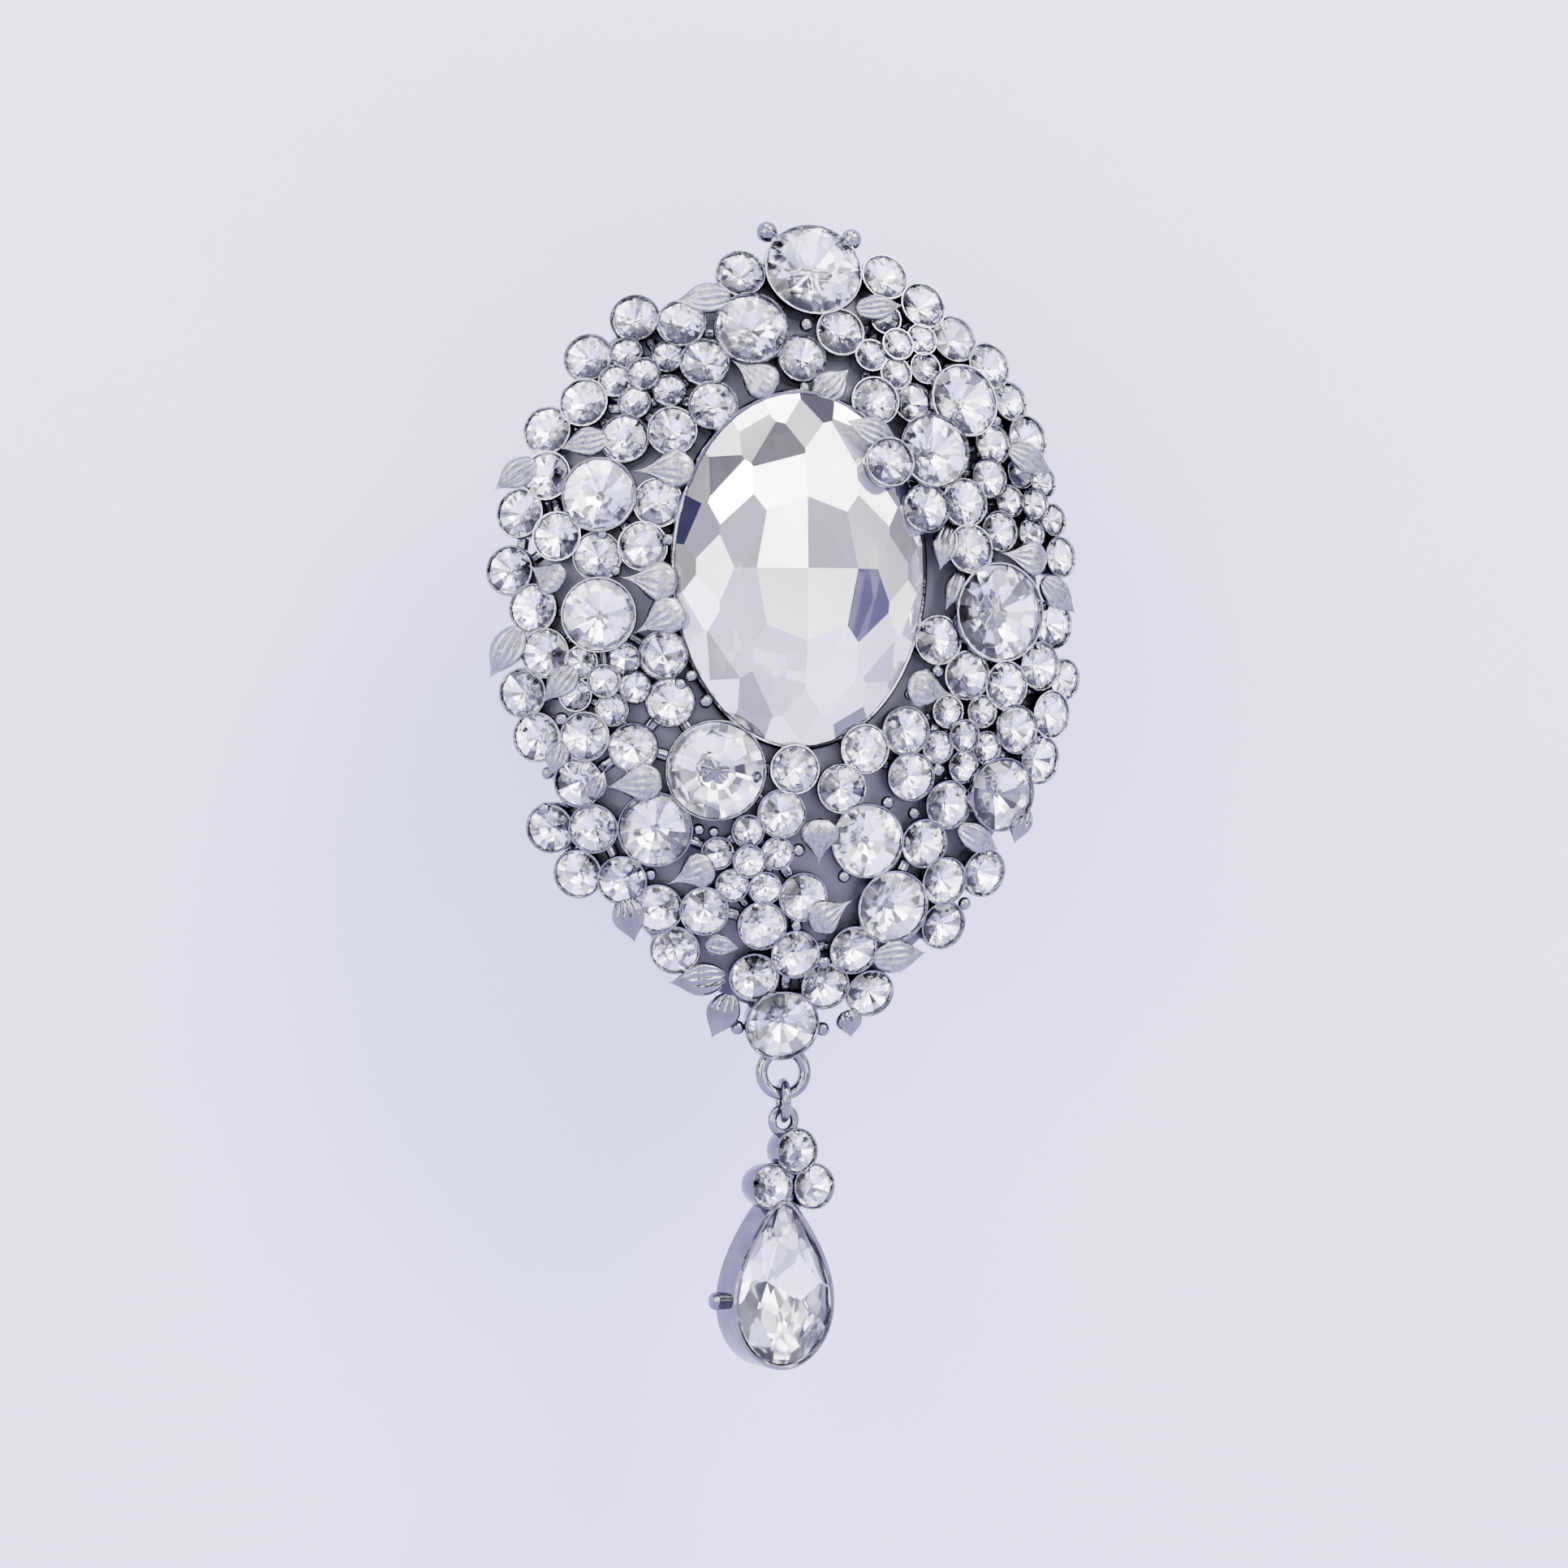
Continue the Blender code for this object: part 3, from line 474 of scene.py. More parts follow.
POLISHED_LEAVES = (
    (-15, -28.5, -14, -32.5, 1.4), (-6, -35.5, -11, -36, 1.5), (-5.5, -37, -7, -41, 1.5),
    (5, -38.5, 5.5, -41, 1.2), (21, -20.5, 20, -24, 1.3),
)
FANS = (
    (-6, 18.5, -2, 15.5, 1.7), (-14.8, 8.5, -9.2, 8.8, 1.7), (-23.5, 0.5, -20.5, -1.5, 1.5),
    (-16, -0.7, -10.8, -1.3, 1.8), (-14.8, -5.8, -10.4, -3.2, 1.7), (-17.5, -19, -12, -18.3, 1.7),
    (-11.6, -27.5, -7.5, -25.5, 1.6), (5.3, -28.6, 1, -31, 1.6), (1.8, -26.2, 1.7, -21.6, 1.7),
    (14.2, -10.9, 9.4, -10, 1.7), (18, 1.8, 23, 1, 1.6),
)
OVER_THE_OVAL = (8.2, 11.0, 3.8, 12.9, 1.3)
GROOVES = 5
GROOVE_DEPTH = 0.11 * MM
LEAF_ROWS, LEAF_COLUMNS = 26, 44
LEAF_CROWN, LEAF_BELLY, LEAF_TIP_RISE = 0.85 * MM, 0.45 * MM, 0.35 * MM
LEAF_SMOOTH_ANGLE = 50
LEAF_ABOVE_GIRDLE = 0.25 * MM


def leaves(places, half_width, lift, widest, start_power, end_power):
    """Flat-bellied leaves with a crowned top. Along u from 0 to 1 the half width is
    sin(pi u^k) to a power that goes from the start's to the end's, a high one for a pointed end,
    with k set so that it is widest where asked. Round t the section is (cos t across, sin t out),
    with cosine grooves that fade towards the tip."""
    start, end = places[:, :2] * MM, places[:, 2:4] * MM
    u = np.linspace(0, 1, LEAF_ROWS)[None, :, None]
    t = (np.arange(LEAF_COLUMNS) * math.tau / LEAF_COLUMNS)[None, None, :]
    along = (end - start) / np.linalg.norm(end - start, axis=1, keepdims=True)
    across = np.stack([-along[:, 1], along[:, 0]], axis=-1)
    power = start_power + (end_power - start_power) * u
    turn = np.clip(math.pi * u ** (math.log(0.5) / math.log(widest)), 0, math.pi)
    width = half_width[:, None, None] * np.clip(np.sin(turn), 0, 1) ** power
    side = width * np.cos(t)
    x = start[:, 0, None, None] + u * (end - start)[:, 0, None, None] + side * across[:, 0, None, None]
    z = start[:, 1, None, None] + u * (end - start)[:, 1, None, None] + side * across[:, 1, None, None]
    full = np.clip(width / half_width[:, None, None], 0, 1)
    groove = GROOVE_DEPTH * np.cos(math.tau * GROOVES * np.cos(t) / 2) * (1 - u**3) * full
    top = np.maximum(np.sin(t), 0)
    crowned = LEAF_CROWN * np.sqrt(top) * full + groove * top**0.5
    out = np.where(np.sin(t) > 0, crowned, LEAF_BELLY * np.sin(t) * full)
    out = out + LEAF_TIP_RISE * np.sin(math.pi * u / 2) ** 2
    height = dome(x, z) + GIRDLE_ABOVE_BACK + LEAF_ABOVE_GIRDLE + lift[:, None, None] + out
    return on_face(x, z, height)


# The same plate, brushed: duller, and greyer in the scratches.
brushed = Surface("brushed_rhodium_plate", {"Metallic": 1.0})
scratches = brushed.noise(2600, 4.0)
brushed.feed("Base Color", brushed.between((0.015, 0.015, 0.02), (0.36, 0.36, 0.385), scratches))
brushed.feed("Roughness", 0.16 + 0.26 * scratches)
brushed.bump(scratches, 0.5, 0.08 * MM)

for name, places, finish, widest, lift, start_power, end_power in (
    ("leaves", LEAVES, brushed, 0.4, 0.0, 0.6, 1.5), ("fans", FANS, brushed, 0.7, 0.0, 1.5, 0.5),
    ("polished_leaves", POLISHED_LEAVES, plate, 0.4, 0.0, 0.6, 1.5),
    ("leaf_over_oval", (OVER_THE_OVAL,), brushed, 0.45, 2.2 * MM, 0.8, 1.2),
):
    places = np.array(places, float)
    points = leaves(places, places[:, 4] * MM, np.full(len(places), lift), widest, start_power, end_power)
    petals = new_piece(
        name, points, grid_faces(len(places), LEAF_ROWS, LEAF_COLUMNS), [finish.material], LEAF_SMOOTH_ANGLE
    )
    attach(petals, "root")


# The beads: small cast balls in the corners between the cups, and the two balls over the topmost
# stone, which stand on short claws of its cup.

BEADS = (
    (-1.9, 29.9, 0.95), (5.7, 29.4, 0.95), (-11.5, 2.5, 0.6), (-9.6, -9.3, 0.55), (-10.5, -10, 0.55),
    (-8.3, -11.5, 0.6), (-20.5, -13, 0.6), (1, 21.5, 0.6), (0.6, 15.8, 0.6), (9.8, -10.8, 0.5),
    (12.3, -8.8, 0.6), (12.5, -17.4, 0.6), (0, -24.4, 0.6), (4.1, -26.7, 0.6), (0, -31, 0.55),
    (2.6, -34.2, 0.6), (7.9, -20.3, 0.6), (10.3, -21.2, 0.55), (15.5, -29.2, 0.6), (-4.7, -40, 0.65),
    (2.9, -40.2, 0.65), (-8.8, -22.6, 0.55), (-7.5, -22.8, 0.5), (-12.8, -26.5, 0.55),
    (-17.1, 3, 0.5), (-16, -0.2, 0.5), (-21.8, -20.8, 0.55), (12.4, 18.4, 0.55), (-16.2, -22.3, 0.5),
    (-21.6, -17.7, 0.55), (-4, -18, 0.5), (10.2, 9.2, 0.5), (14.6, 13.6, 0.6), (18.4, 13.4, 0.5),
)
BEAD_ROWS, BEAD_COLUMNS = 9, 14
CLAWS, CLAW_REACH, CLAW_HALF_WIDTH = 2, 0.4, 0.5 * MM  # the first balls are the ones on claws
BEAD_STAND = 0.1 * MM


def balls(centres, radii, rows, columns):
    """Round balls: point = centre + radius (sin a cos t, sin a sin t, cos a)."""
    a = np.linspace(0, math.pi, rows)[:, None]
    t = (np.arange(columns) * math.tau / columns)[None, :]
    unit = np.stack([np.sin(a) * np.cos(t), np.sin(a) * np.sin(t), np.cos(a) + 0 * t], axis=-1)
    return centres[:, None, None] + radii[:, None, None, None] * unit[None, :, ::-1]


bead_rows = np.array(BEADS)
bead_x, bead_z = bead_rows[:, 0] * MM, bead_rows[:, 1] * MM
bead_centres = on_face(bead_x, bead_z, dome(bead_x, bead_z) + GIRDLE_ABOVE_BACK + BEAD_STAND)
beads = new_piece(
    "beads", balls(bead_centres, bead_rows[:, 2] * MM, BEAD_ROWS, BEAD_COLUMNS),
    grid_faces(len(BEADS), BEAD_ROWS, BEAD_COLUMNS), [plate.material], 0,
)
beads.data.shade_smooth()
claw_balls = bead_centres[:CLAWS]
claw_roots = claw_balls + CLAW_REACH * (stone_centre[0] - claw_balls)
claws = new_piece(
    "crown_claws", bars(claw_balls, claw_roots, CLAW_HALF_WIDTH, CLAW_HALF_WIDTH, BAR_SIDES),
    grid_faces(CLAWS, 4, BAR_SIDES), [plate.material],
)
for piece in (beads, claws):
    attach(piece, "root")


# The round stones: lead crystal, ground facet by facet, with silver foil fired on the back. The
# foil's flats mirror the light back through the crown in wedges, and each flat also carries a painted
# reflection: a brightness of its own, painted into its colour.

BLOCK = 3.0
FACET_LIFT = 0.03  # how far each facet's plane stands off the rounded form, in half widths
STONE_SHAPE_STEP = 1e-5
OUTLINE_STEP = 0.001
LEANS = 0.05  # a facet whose normal leans less than this is part of the girdle


def tangent_plane(outline, share, t, level, height, power):
    """A plane that touches the surface height (1 - share^power) on the outline's ray at t, with
    the slope found by small steps. Returns a point of it and its outward normal."""
    step = STONE_SHAPE_STEP

    def surface(x, y):
        return height * (1 - share(x, y) ** power)

    x, y = level * outline(np.array(t))
    across = (surface(x + step, y) - surface(x - step, y)) / (2 * step)
    upward = (surface(x, y + step) - surface(x, y - step)) / (2 * step)
    return (x, y, surface(x, y)), (-across, -upward, 1.0)


def cut_stone(outline, share, crown, back, girdle):
    """A stone ground from a block: each facet is a plane that takes off what lies outside it.
    Crown and back are (height, power, rows), and a row is (facets, first turn, how far out)."""
    planes = []
    for side, (height, power, rows) in ((1, crown), (-1, back)):
        for count, first, level in rows:
            for t in math.radians(first) + np.arange(count) * math.tau / count:
                point, normal = tangent_plane(outline, share, t, level, height, power)
                planes.append(((*point[:2], side * (point[2] + FACET_LIFT)), (*normal[:2], side)))
    for t in (np.arange(girdle) + 0.5) * math.tau / girdle:
        edge = outline(np.array(t))
        ahead = outline(np.array(t + OUTLINE_STEP)) - outline(np.array(t - OUTLINE_STEP))
        planes.append(((*edge, 0), (ahead[1], -ahead[0], 0)))
    made = bmesh.new()
    bmesh.ops.create_cube(made, size=BLOCK)
    for point, normal in planes:
        geometry = made.verts[:] + made.edges[:] + made.faces[:]
        cut = bmesh.ops.bisect_plane(
            made, geom=geometry, dist=1e-6, plane_co=point, plane_no=normal, clear_outer=True
        )
        edges = [item for item in cut["geom_cut"] if isinstance(item, bmesh.types.BMEdge)]
        if len(edges) > 2:
            bmesh.ops.edgeloop_fill(made, edges=edges)
    made.normal_update()
    made.verts.index_update()
    points = np.array([vertex.co for vertex in made.verts])
    faces = [[vertex.index for vertex in face.verts] for face in made.faces]
    lean = np.array([face.normal.z for face in made.faces])
    made.free()
    return points, faces, lean


def ellipse(half_width=1.0, half_height=1.0):
    return round_outline(half_width, half_height), lambda x, y: np.hypot(x / half_width, y / half_height)


ROUND_CROWN = (0.34, 2.2, ((1, 0, 0.0), (8, 0, 0.7), (16, 11.25, 0.93)))
ROUND_BACK = (0.5, 1.0, ((15, 0, 0.5),))
round_points, round_faces, round_lean = cut_stone(*ellipse(), ROUND_CROWN, ROUND_BACK, 24)

# Clear crystal with a trace of lavender.
crystal = Surface("cut_crystal", {"Roughness": 0.0, "IOR": 1.4, "Transmission Weight": 1.0})
crystal.feed("Base Color", crystal.between((0.93, 0.93, 0.99), (1.0, 1.0, 1.0), crystal.noise(160)))
# Silver foil behind it: each flat takes its own tone, a painted reflection in the foil's colour.
PAINTED_REFLECTION_MEAN, PAINTED_REFLECTION_SPREAD = 0.76, 0.38
foil = Surface("silver_foil_painted_reflections", {"Metallic": 1.0})
tone = foil.node("ShaderNodeAttribute", {"attribute_name": "facet"}, {}, "Fac")
foil.feed("Base Color", foil.between((0.07, 0.07, 0.10), (1.0, 1.0, 1.0), tone))
foil.feed("Roughness", 0.05 + 0.08 * foil.noise(900))


def stones(
    name, points, faces, lean, scales, centres, frames, body, seed,
    front=crystal, marks=(), spread=PAINTED_REFLECTION_SPREAD,
):
    """Copies of one cut stone, each turned on its own axis, with foil on the facets that face back.
    Every facet's tone is a painted reflection. A mark (across, up, tone) sets the tone of the crown's facet
    nearest to it."""
    draw = np.random.default_rng(seed)
    count = len(centres)
    turn = draw.uniform(0, math.tau, count) if name.endswith("s") else np.zeros(count)
    cos, sin, zero = np.cos(turn), np.sin(turn), np.zeros(count)
    spin = np.stack([np.stack([cos, sin, zero], -1), np.stack([-sin, cos, zero], -1),
                     np.stack([zero, zero, zero + 1], -1)], axis=1)
    placed = centres[:, None] + scales[:, None, None] * np.einsum("pk,nkj,njm->npm", points, spin, frames)
    every = [[vertex + copy * len(points) for vertex in face] for copy in range(count) for face in faces]
    # Each facet's tone is a painted reflection, drawn round the mean.
    tone = np.clip(draw.normal(PAINTED_REFLECTION_MEAN, spread, count * len(faces)), 0.05, 1)
    middles = np.array([points[face].mean(axis=0) for face in faces])
    for across, upward, value in marks:
        off = np.hypot(middles[:, 0] - across, middles[:, 1] - upward)
        tone[np.argmin(np.where(lean > LEANS, off, np.inf))] = value
    foiled = np.tile(lean < -LEANS, count).astype(np.int32)
    made = new_piece(name, placed, every, [front.material, foil.material], 0, tone, foiled)
    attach(made, body)
    return made


for seed, (size, radius) in enumerate(STONE_SIZES.items()):
    mine = of_size[size]
    made = stones(
        f"{size}_stones", round_points, round_faces, round_lean, np.full(mine.sum(), radius),
        stone_centre[mine], stone_frame[mine], "root", seed,
    )
    nodes = [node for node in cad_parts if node.startswith(f"{size}_stone_")]
    if nodes:
        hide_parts(*nodes)


# The big oval stone: shallow flats that meet in a point over its middle, rings of steeper facets
# down to a thin girdle, and a foiled back.

OVAL_SHAPE = ellipse(1.0, OVAL_HEIGHT / OVAL_WIDTH)
OVAL_CROWN = (0.34, 2.6, ((4, 45, 0.24), (8, 22.5, 0.55), (10, 0, 0.74), (14, 12, 0.86), (22, 0, 0.96)))
OVAL_BACK = (0.13, 2.0, ((6, 30, 0.3), (12, 0, 0.8)))
# Painted reflections on single facets, in half widths from the middle: across, up and how bright.
OVAL_PAINTED_REFLECTIONS = (
    (-0.22, 0.25, 0.92), (0.22, 0.25, 0.88), (-0.22, -0.25, 0.84), (0.22, -0.25, 0.98),
    (0.55, -0.6, 0.85),
    (-0.3, 0.72, 1.0), (0.25, 0.75, 0.5), (0.6, 0.3, 0.66), (0.6, -0.25, 0.1), (-0.6, 0.3, 0.9),
    (-0.6, -0.3, 0.84), (-0.3, -0.75, 0.72), (0.3, -0.75, 1.0), (-0.5, 0.9, 0.4), (0.0, 1.1, 0.55),
    (-0.85, 0.1, 0.5), (-0.85, -0.3, 1.0), (-0.7, -0.75, 0.45), (0.85, 0.1, 0.6), (0.0, -1.1, 0.8),
)
oval_cut = cut_stone(*OVAL_SHAPE, OVAL_CROWN, OVAL_BACK, 48)
# The big stone is only half clear, with the lavender of the room in its flats, and each flat's colour
# is a painted reflection, from dark through brown-grey to white.
milky = Surface(
    "big_crystal_painted_reflections", {"Roughness": 0.02, "IOR": 1.56, "Transmission Weight": 0.5, "Metallic": 0.55}
)
facet = milky.node("ShaderNodeAttribute", {"attribute_name": "facet"}, {}, "Fac")
painted_reflection_tones = ((0, (0.03, 0.03, 0.10)), (0.45, (0.30, 0.28, 0.26)), (1, (1.0, 1.0, 1.0)))
milky.feed("Base Color", milky.node("ShaderNodeValToRGB", {"stops": painted_reflection_tones}, {"Fac": facet}))
centre_stone = stones(
    "oval_crystal", *oval_cut, np.array((OVAL_WIDTH,)), on_face(0.0, 0.0, OVAL_SEAT)[None],
    FACE_FRAME[None], "root", 11, milky, OVAL_PAINTED_REFLECTIONS, 0.4,
)
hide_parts("centre_stone")


# The eye under the face and the loose link that hangs in it: drawn wire, bent round and soldered.

link_low, link_high = (np.array(corner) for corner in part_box("link_ring"))
link_middle = (link_low + link_high) / 2
LINK_WIRE = link_high[0] - link_low[0]
LINK_RADIUS = (link_high[2] - link_low[2] - LINK_WIRE) / 2
EYE_RADIUS, EYE_WIRE = 1.95 * MM, 1.1 * MM
LINK_PLAY = 0.12 * MM
EYE_MIDDLE = link_middle + (0, 0, LINK_RADIUS - (EYE_WIRE + LINK_WIRE) / 2 - LINK_PLAY + EYE_RADIUS)
WIRE_SIDES, RING_SIDES = 20, 64


def wire_ring(name, radius, wire, centre, axes, body):
    """A ring of round wire: centre + (radius - wire/2 cos s)(cos t, sin t) + wire/2 sin s out."""
    s = np.arange(WIRE_SIDES) * math.tau / WIRE_SIDES
    profile = np.stack([radius - wire / 2 * np.cos(s), wire / 2 * np.sin(s)], axis=-1)
    points = turned(profile[::-1], RING_SIDES, centre[None], axes[None])
    made = new_piece(name, points, grid_faces(1, WIRE_SIDES, RING_SIDES, wrap_rows=True), [plate.material], 0)
    made.data.shade_smooth()
    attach(made, body)
    return made


ACROSS_FRAME = np.array(((0, 1.0, 0), (0, 0, 1.0), (1.0, 0, 0)))
wire_ring("bottom_eye", EYE_RADIUS, EYE_WIRE, EYE_MIDDLE, FACE_FRAME, "root")
link = wire_ring("link", LINK_RADIUS, LINK_WIRE, link_middle, ACROSS_FRAME, "link")
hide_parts("link_ring")


# The drop: one small casting with an eye, three cups and a pear-shaped collar with a cast stub on
# its left wall. It hangs a little turned, so its left wall shows.

DROP_TURN = math.radians(16)
DROP_EYE_RADIUS, DROP_EYE_WIRE = 1.1 * MM, 0.8 * MM
DROP_FRAME = np.array((
    (math.cos(DROP_TURN), math.sin(DROP_TURN), 0), (0, 0, 1.0), (math.sin(DROP_TURN), -math.cos(DROP_TURN), 0)
))
DROP_EYE = link_middle - (
    0, 0, LINK_RADIUS - (LINK_WIRE + DROP_EYE_WIRE) / 2 - LINK_PLAY + DROP_EYE_RADIUS
)
PEAR_WIDTH, PEAR_HEIGHT, PEAR_TAPER = 5.0 * MM, 7.0 * MM, 0.6
PEAR_DROP = 14.5 * MM
PEAR_SIDES = 96
PEAR_WALL = 0.6 * MM
PEAR_DEPTH = 3.8 * MM
DROP_STONE_RADIUS = 1.8 * MM
DROP_STONES = np.array(((1.0, -2.7, 0.6), (-1.3, -5.8, 0.2), (2.9, -5.9, 0.2))) * MM
DROP_CUP_DEPTH = 2.3 * MM
STUB = ((0.0, 0.0), (0.75, 0.0), (0.8, 0.5), (0.8, 1.0), (0.62, 1.25), (0.0, 1.3))


def pear(half_width, half_height):
    """An oval whose width closes in by the square of the way from its bottom to its top."""
    def outline(t):
        y = np.sin(t)
        narrow = 1 - PEAR_TAPER * ((y + 1) / 2) ** 2
        return np.stack([half_width * np.cos(t) * narrow, half_height * y], axis=-1)

    def share(x, y):
        narrow = 1 - PEAR_TAPER * np.clip((y / half_height + 1) / 2, 0, 1) ** 2
        return np.hypot(x / (half_width * narrow), y / half_height)

    return outline, share


def on_drop(x, z, forward):
    """A place on the drop, measured from the middle of its eye."""
    return DROP_EYE + np.array((x, z, forward)) @ DROP_FRAME


pear_middle = on_drop(0.0, -PEAR_DROP, 0.0)
pear_profile = (
    (-0.2 * MM, -PEAR_DEPTH), (0.1 * MM, -PEAR_DEPTH), (PEAR_WALL, -PEAR_DEPTH + 0.5 * MM),
    (PEAR_WALL, -0.1 * MM), (PEAR_WALL - 0.04 * MM, 0.22 * MM), (0.6 * PEAR_WALL, 0.36 * MM),
    (0.25 * PEAR_WALL, 0.32 * MM), (0.08 * MM, 0.12 * MM), (0.06 * MM, -0.4 * MM),
    (-0.2 * MM, -PEAR_DEPTH + 0.6 * MM),
)
PEAR_FLOOR = ((0, 3.2), (0.99, 3.2), (1.01, 3.3), (1.01, 3.7), (0.99, 3.78), (0, 3.78))
pear_points = collar(pear(PEAR_WIDTH, PEAR_HEIGHT)[0], pear_profile, PEAR_SIDES, pear_middle, DROP_FRAME)
pear_collar = new_piece(
    "pear_collar", pear_points, grid_faces(1, len(pear_profile), PEAR_SIDES, wrap_rows=True), [plate.material]
)
# The floor's steps are (share of the pear, depth in millimetres), from its hidden front to its back.
floor_share, floor_depth = np.array(PEAR_FLOOR).T[:, :, None, None]
pear_edge = pear(PEAR_WIDTH, PEAR_HEIGHT)[0](np.arange(PEAR_SIDES) * math.tau / PEAR_SIDES)
floor_rings = np.broadcast_to(-floor_depth * MM, (len(PEAR_FLOOR), PEAR_SIDES, 1))
pear_floor = pear_middle + np.concatenate([floor_share * pear_edge, floor_rings], axis=-1) @ DROP_FRAME
pear_back = new_piece(
    "pear_back", pear_floor[::-1], grid_faces(1, len(PEAR_FLOOR), PEAR_SIDES), [plate.material]
)
drop_centres = np.array([on_drop(*place) for place in DROP_STONES])
drop_frames = np.broadcast_to(DROP_FRAME, (len(DROP_STONES), 3, 3))
drop_profile = cup_profile(DROP_STONE_RADIUS, DROP_CUP_DEPTH)
drop_cups = new_piece(
    "drop_cups", turned(drop_profile, CUP_SIDES["small"], drop_centres, drop_frames),
    grid_faces(len(drop_centres), len(drop_profile), CUP_SIDES["small"]), [plate.material],
)
eye_foot = DROP_EYE - (0, 0, DROP_EYE_RADIUS)
joint_starts = np.array([eye_foot, drop_centres[0], drop_centres[0], drop_centres[1], drop_centres[2]])
joint_ends = np.array([*drop_centres, on_drop(0.0, -9.0 * MM, 0.0), on_drop(0.8 * MM, -9.0 * MM, 0.0)])
set_back = 1.6 * MM * DROP_FRAME[2]
drop_web = new_piece(
    "drop_web", bars(joint_starts - 0.5 * set_back, joint_ends - set_back, 0.6 * MM, 0.5 * MM, BAR_SIDES),
    grid_faces(len(joint_starts), 4, BAR_SIDES), [plate.material],
)
left_wall = on_drop(-PEAR_WIDTH + 0.1 * MM, -PEAR_DROP - 0.2 * PEAR_HEIGHT, -0.5 * PEAR_DEPTH)
stub_frame = np.array((DROP_FRAME[2], DROP_FRAME[1], -DROP_FRAME[0]))
stub = new_piece(
    "drop_stub", turned(np.array(STUB)[::-1] * MM, WIRE_SIDES, left_wall[None], stub_frame[None]),
    grid_faces(1, len(STUB), WIRE_SIDES), [plate.material],
)
for piece in (pear_collar, pear_back, drop_cups, drop_web, stub):
    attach(piece, "drop")
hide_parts("drop_casting")
wire_ring("drop_eye", DROP_EYE_RADIUS, DROP_EYE_WIRE, DROP_EYE, DROP_FRAME, "drop")
trio = stones(
    "drop_stones", round_points, round_faces, round_lean, np.full(len(drop_centres), DROP_STONE_RADIUS),
    drop_centres, drop_frames, "drop", 21,
)
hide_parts("drop_stone_1", "drop_stone_2", "drop_stone_3")
PEAR_CROWN = (0.42, 2.2, ((8, 22.5, 0.32), (8, 0, 0.62), (16, 11.25, 0.86)))
PEAR_BACK = (0.5, 1.4, ((7, 0, 0.4), (11, 15, 0.8)))
pear_cut = cut_stone(*pear(1.0, PEAR_HEIGHT / PEAR_WIDTH), PEAR_CROWN, PEAR_BACK, 40)
pear_stone = stones(
    "pear_crystal", *pear_cut, np.array((PEAR_WIDTH,)), pear_middle[None], DROP_FRAME[None], "drop", 22
)
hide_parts("pear_stone")


# The pin back: a stamped nickel bar with a hinge at one end and a turning safety catch at the
# other, and a steel stem ground to a point.

nickel = Surface("stamped_nickel", {"Metallic": 1.0})
grain = nickel.noise(1800, 3.0)
nickel.feed("Base Color", nickel.between((0.55, 0.54, 0.53), (0.78, 0.77, 0.76), grain))
nickel.feed("Roughness", 0.2 + 0.2 * grain)
nickel.bump(grain, 0.3, 0.05 * MM)
steel = Surface("ground_steel", {"Metallic": 1.0})
fine = steel.noise(3200, 2.0)
steel.feed("Base Color", steel.between((0.62, 0.63, 0.66), (0.82, 0.83, 0.86), fine))
steel.feed("Roughness", 0.12 + 0.14 * fine)
for node, material in (
    ("pin_bar", nickel), ("hinge_rivet", steel), ("catch_housing", nickel), ("catch_collar", nickel),
    ("pin_stem", steel),
):
    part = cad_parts[node]
    part.data.materials.clear()
    part.data.materials.append(material.material)


# The room: a pale sheet close behind the piece that takes its soft shadow, and a pale floor. The
# sheet is one-sided, so that the piece can be seen from behind as well.

PAPER = (0.80, 0.785, 1.0)
SHEET_BEHIND = 24 * MM
FLOOR_LEVEL = -0.16
ROOM = 1.2

paper = Surface("pale_paper", {"Roughness": 0.9})
shaded = (0.96 * PAPER[0], 0.96 * PAPER[1], 0.97 * PAPER[2])
paper.feed("Base Color", paper.between(shaded, PAPER, paper.noise(60)))
clear = paper.node("ShaderNodeBsdfTransparent", {}, {})
behind = paper.node("ShaderNodeNewGeometry", {}, {}, "Backfacing")
one_sided = paper.node(
    "ShaderNodeMixShader", {}, {0: behind, 1: Socket(paper, paper.shader.outputs[0]), 2: clear}
)
paper.put(paper.tree.nodes["Material Output"].inputs["Surface"], one_sided)
floor_paper = Surface("pale_floor", {"Roughness": 0.9})
floor_paper.feed("Base Color", floor_paper.between((0.70, 0.70, 0.82), PAPER, floor_paper.noise(30)))

sheet_corners = np.array((
    (-ROOM, SHEET_BEHIND, FLOOR_LEVEL), (ROOM, SHEET_BEHIND, FLOOR_LEVEL), (ROOM, SHEET_BEHIND, ROOM),
    (-ROOM, SHEET_BEHIND, ROOM),
))
floor_corners = np.array((
    (-ROOM, -ROOM, FLOOR_LEVEL), (ROOM, -ROOM, FLOOR_LEVEL), (ROOM, ROOM, FLOOR_LEVEL),
    (-ROOM, ROOM, FLOOR_LEVEL),
))
sheet = new_piece("backdrop", sheet_corners, [[0, 1, 2, 3]], [paper.material], 0)
floor = new_piece("floor", floor_corners, [[0, 1, 2, 3]], [floor_paper.material], 0)

# Soft light from all round, with dark stretches and bright spots that only the gloss sees, and a
# little more brightness ahead. A stop is (place, brightness).
AHEAD_SHARE, PATCH_SCALE = 0.04, 4.5
GLOSS_STOPS = ((0.49, 0.08), (0.58, 3.0), (0.68, 13.0))
GLOSS_BLUE = 1.06
ROOM_COLOUR = (0.98, 0.95, 1.35)
ROOM_STRENGTH = 1.75
LAMP_COLOUR = (0.95, 0.94, 1.0)
world = bpy.data.worlds.new("studio")
world.use_nodes = True
bpy.context.scene.world = world
air = world.node_tree
background = air.nodes["Background"]


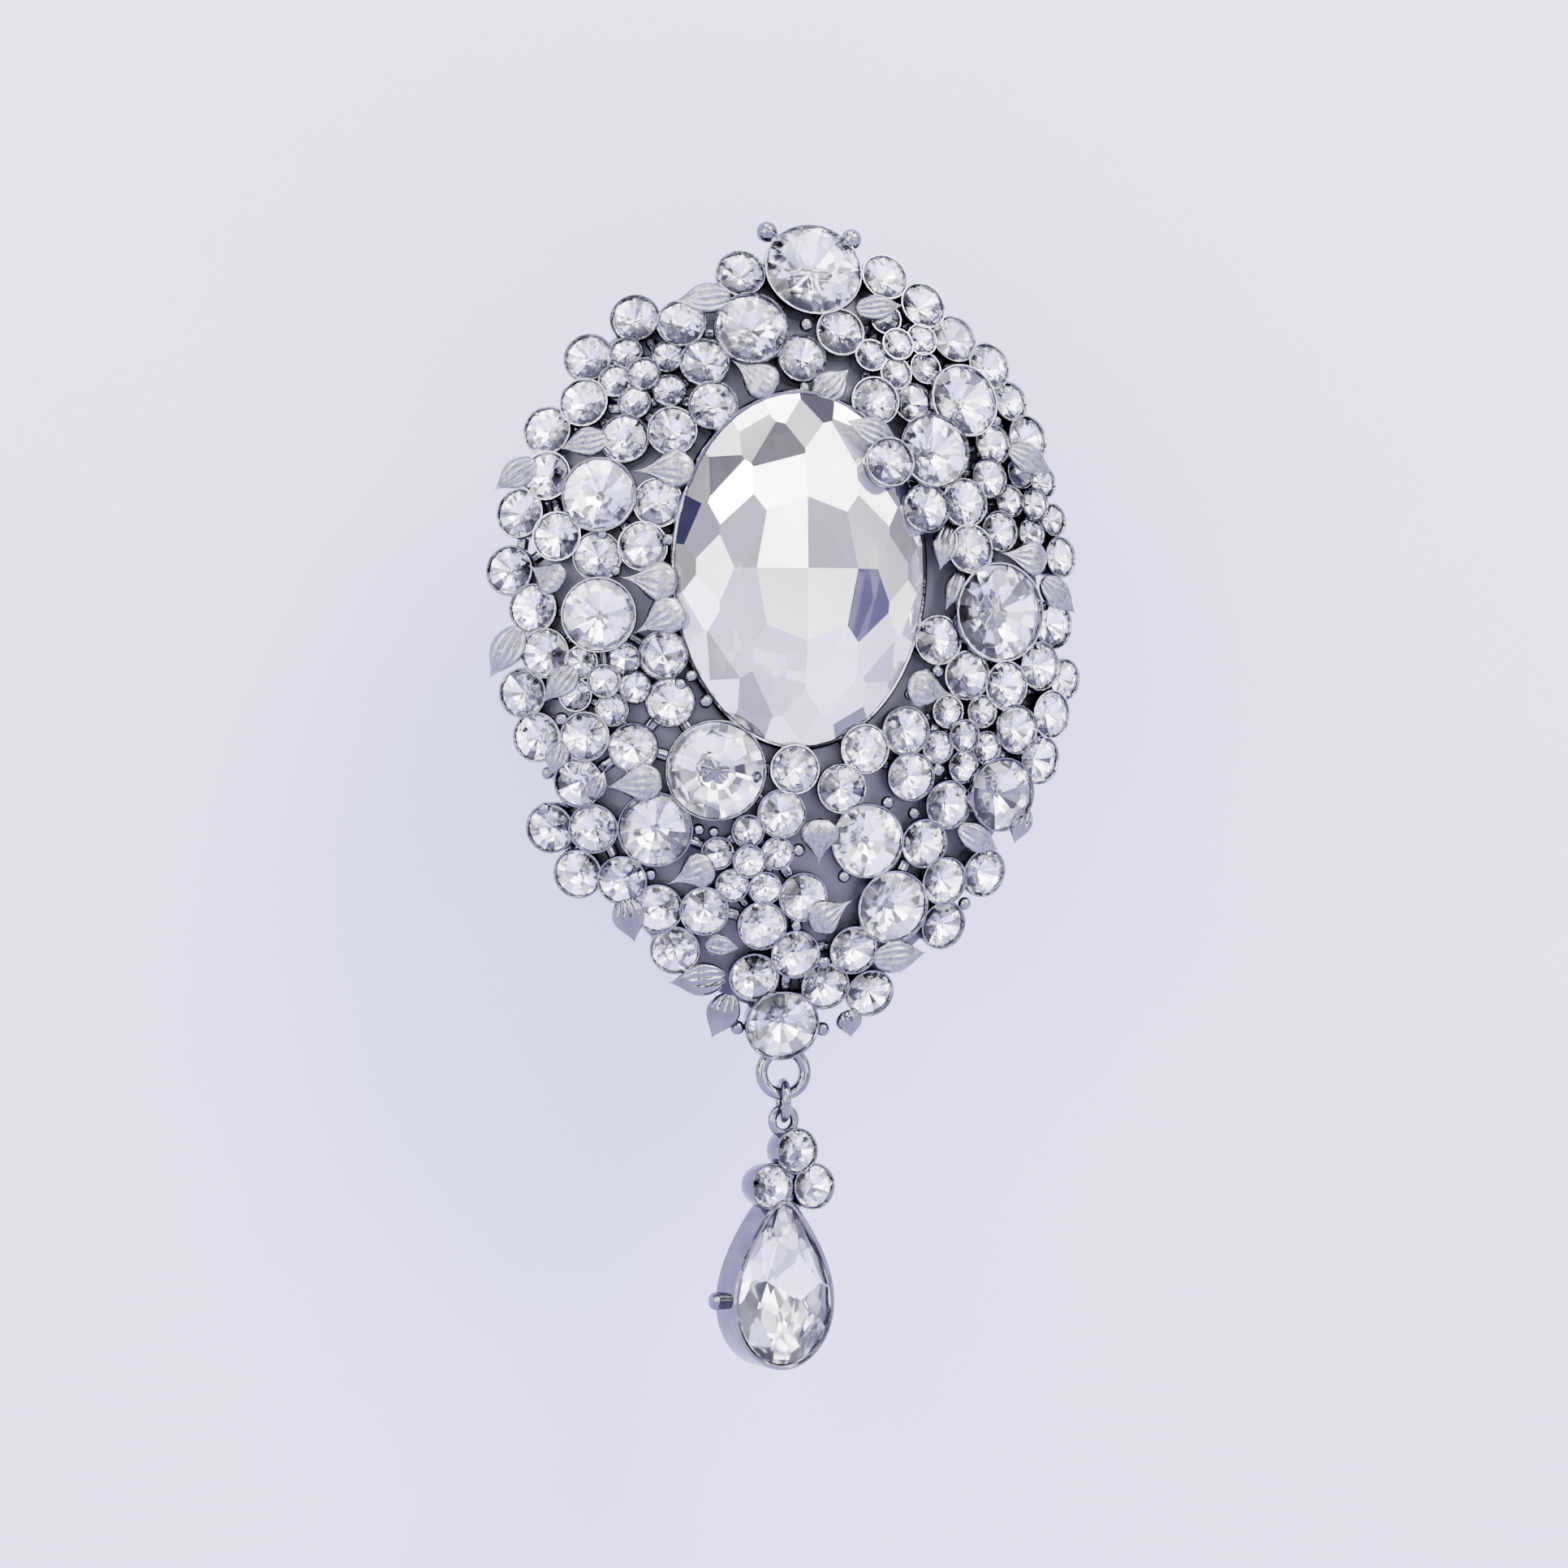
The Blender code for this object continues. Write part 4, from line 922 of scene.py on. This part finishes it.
def air_node(kind, settings, inputs):
    made = air.nodes.new(kind)
    for key, value in settings.items():
        setattr(made, key, value)
    for key, value in inputs.items():
        if isinstance(value, bpy.types.NodeSocket):
            air.links.new(value, made.inputs[key])
        else:
            made.inputs[key].default_value = value
    return made


direction = air_node("ShaderNodeTexCoord", {}, {}).outputs["Generated"]
patches = air_node(
    "ShaderNodeTexNoise", {}, {"Vector": direction, "Scale": PATCH_SCALE, "Detail": 1.0}
).outputs["Fac"]
ahead = air_node("ShaderNodeSeparateXYZ", {}, {"Vector": direction}).outputs["Y"]
brighter_ahead = air_node(
    "ShaderNodeMath", {"operation": "MULTIPLY_ADD"}, {0: ahead, 1: -AHEAD_SHARE, 2: patches}
).outputs[0]
ramp = air_node("ShaderNodeValToRGB", {}, {"Fac": brighter_ahead})
ramp.color_ramp.elements.new(1)
for stop, (place, tone) in zip(ramp.color_ramp.elements, GLOSS_STOPS):
    stop.position, stop.color = place, (tone, tone, GLOSS_BLUE * tone, 1)
glossy = air_node("ShaderNodeLightPath", {}, {})
mixed = air_node("ShaderNodeMix", {"data_type": "RGBA"}, {
    "Factor": glossy.outputs["Is Glossy Ray"], 6: (*ROOM_COLOUR, 1), 7: ramp.outputs["Color"]
})
air.links.new(mixed.outputs[2], background.inputs["Color"])
background.inputs["Strength"].default_value = ROOM_STRENGTH


def lamp(name, place, target, size, power):
    """A square soft light that looks from its place to its target."""
    data = bpy.data.lights.new(name, "AREA")
    data.size, data.energy, data.color = size, power, LAMP_COLOUR
    made = bpy.data.objects.new(name, data)
    back = np.array(place) - np.array(target)
    right_turn = math.atan2(back[0], -back[1])
    made.rotation_euler = (math.atan2(math.hypot(back[0], back[1]), back[2]), 0, right_turn)
    made.location = place
    bpy.context.scene.collection.objects.link(made)


HEART = (0.0, 0.0, -0.02)
lamp("key_light", (0.28, -0.42, 0.42), HEART, 0.34, 6.4)
lamp("fill_light", (-0.5, -0.5, 0.1), HEART, 0.5, 4.0)
lamp("top_light", (0.0, -0.15, 0.6), HEART, 0.3, 3.4)

VIEW_TURN = math.radians(-11)
CAMERA_DISTANCE = 0.45
FRAME_WIDTH = 0.137
LOOK_AT = np.array((-0.0010, -0.008, -0.02865))
camera_data = bpy.data.cameras.new("camera")
camera_data.sensor_width = 36
camera_data.lens = 36 * CAMERA_DISTANCE / FRAME_WIDTH
camera = bpy.data.objects.new("camera", camera_data)
camera.location = LOOK_AT + CAMERA_DISTANCE * np.array((math.sin(VIEW_TURN), -math.cos(VIEW_TURN), 0))
camera.rotation_euler = (math.radians(90), 0, VIEW_TURN)
bpy.context.scene.collection.objects.link(camera)
bpy.context.scene.camera = camera
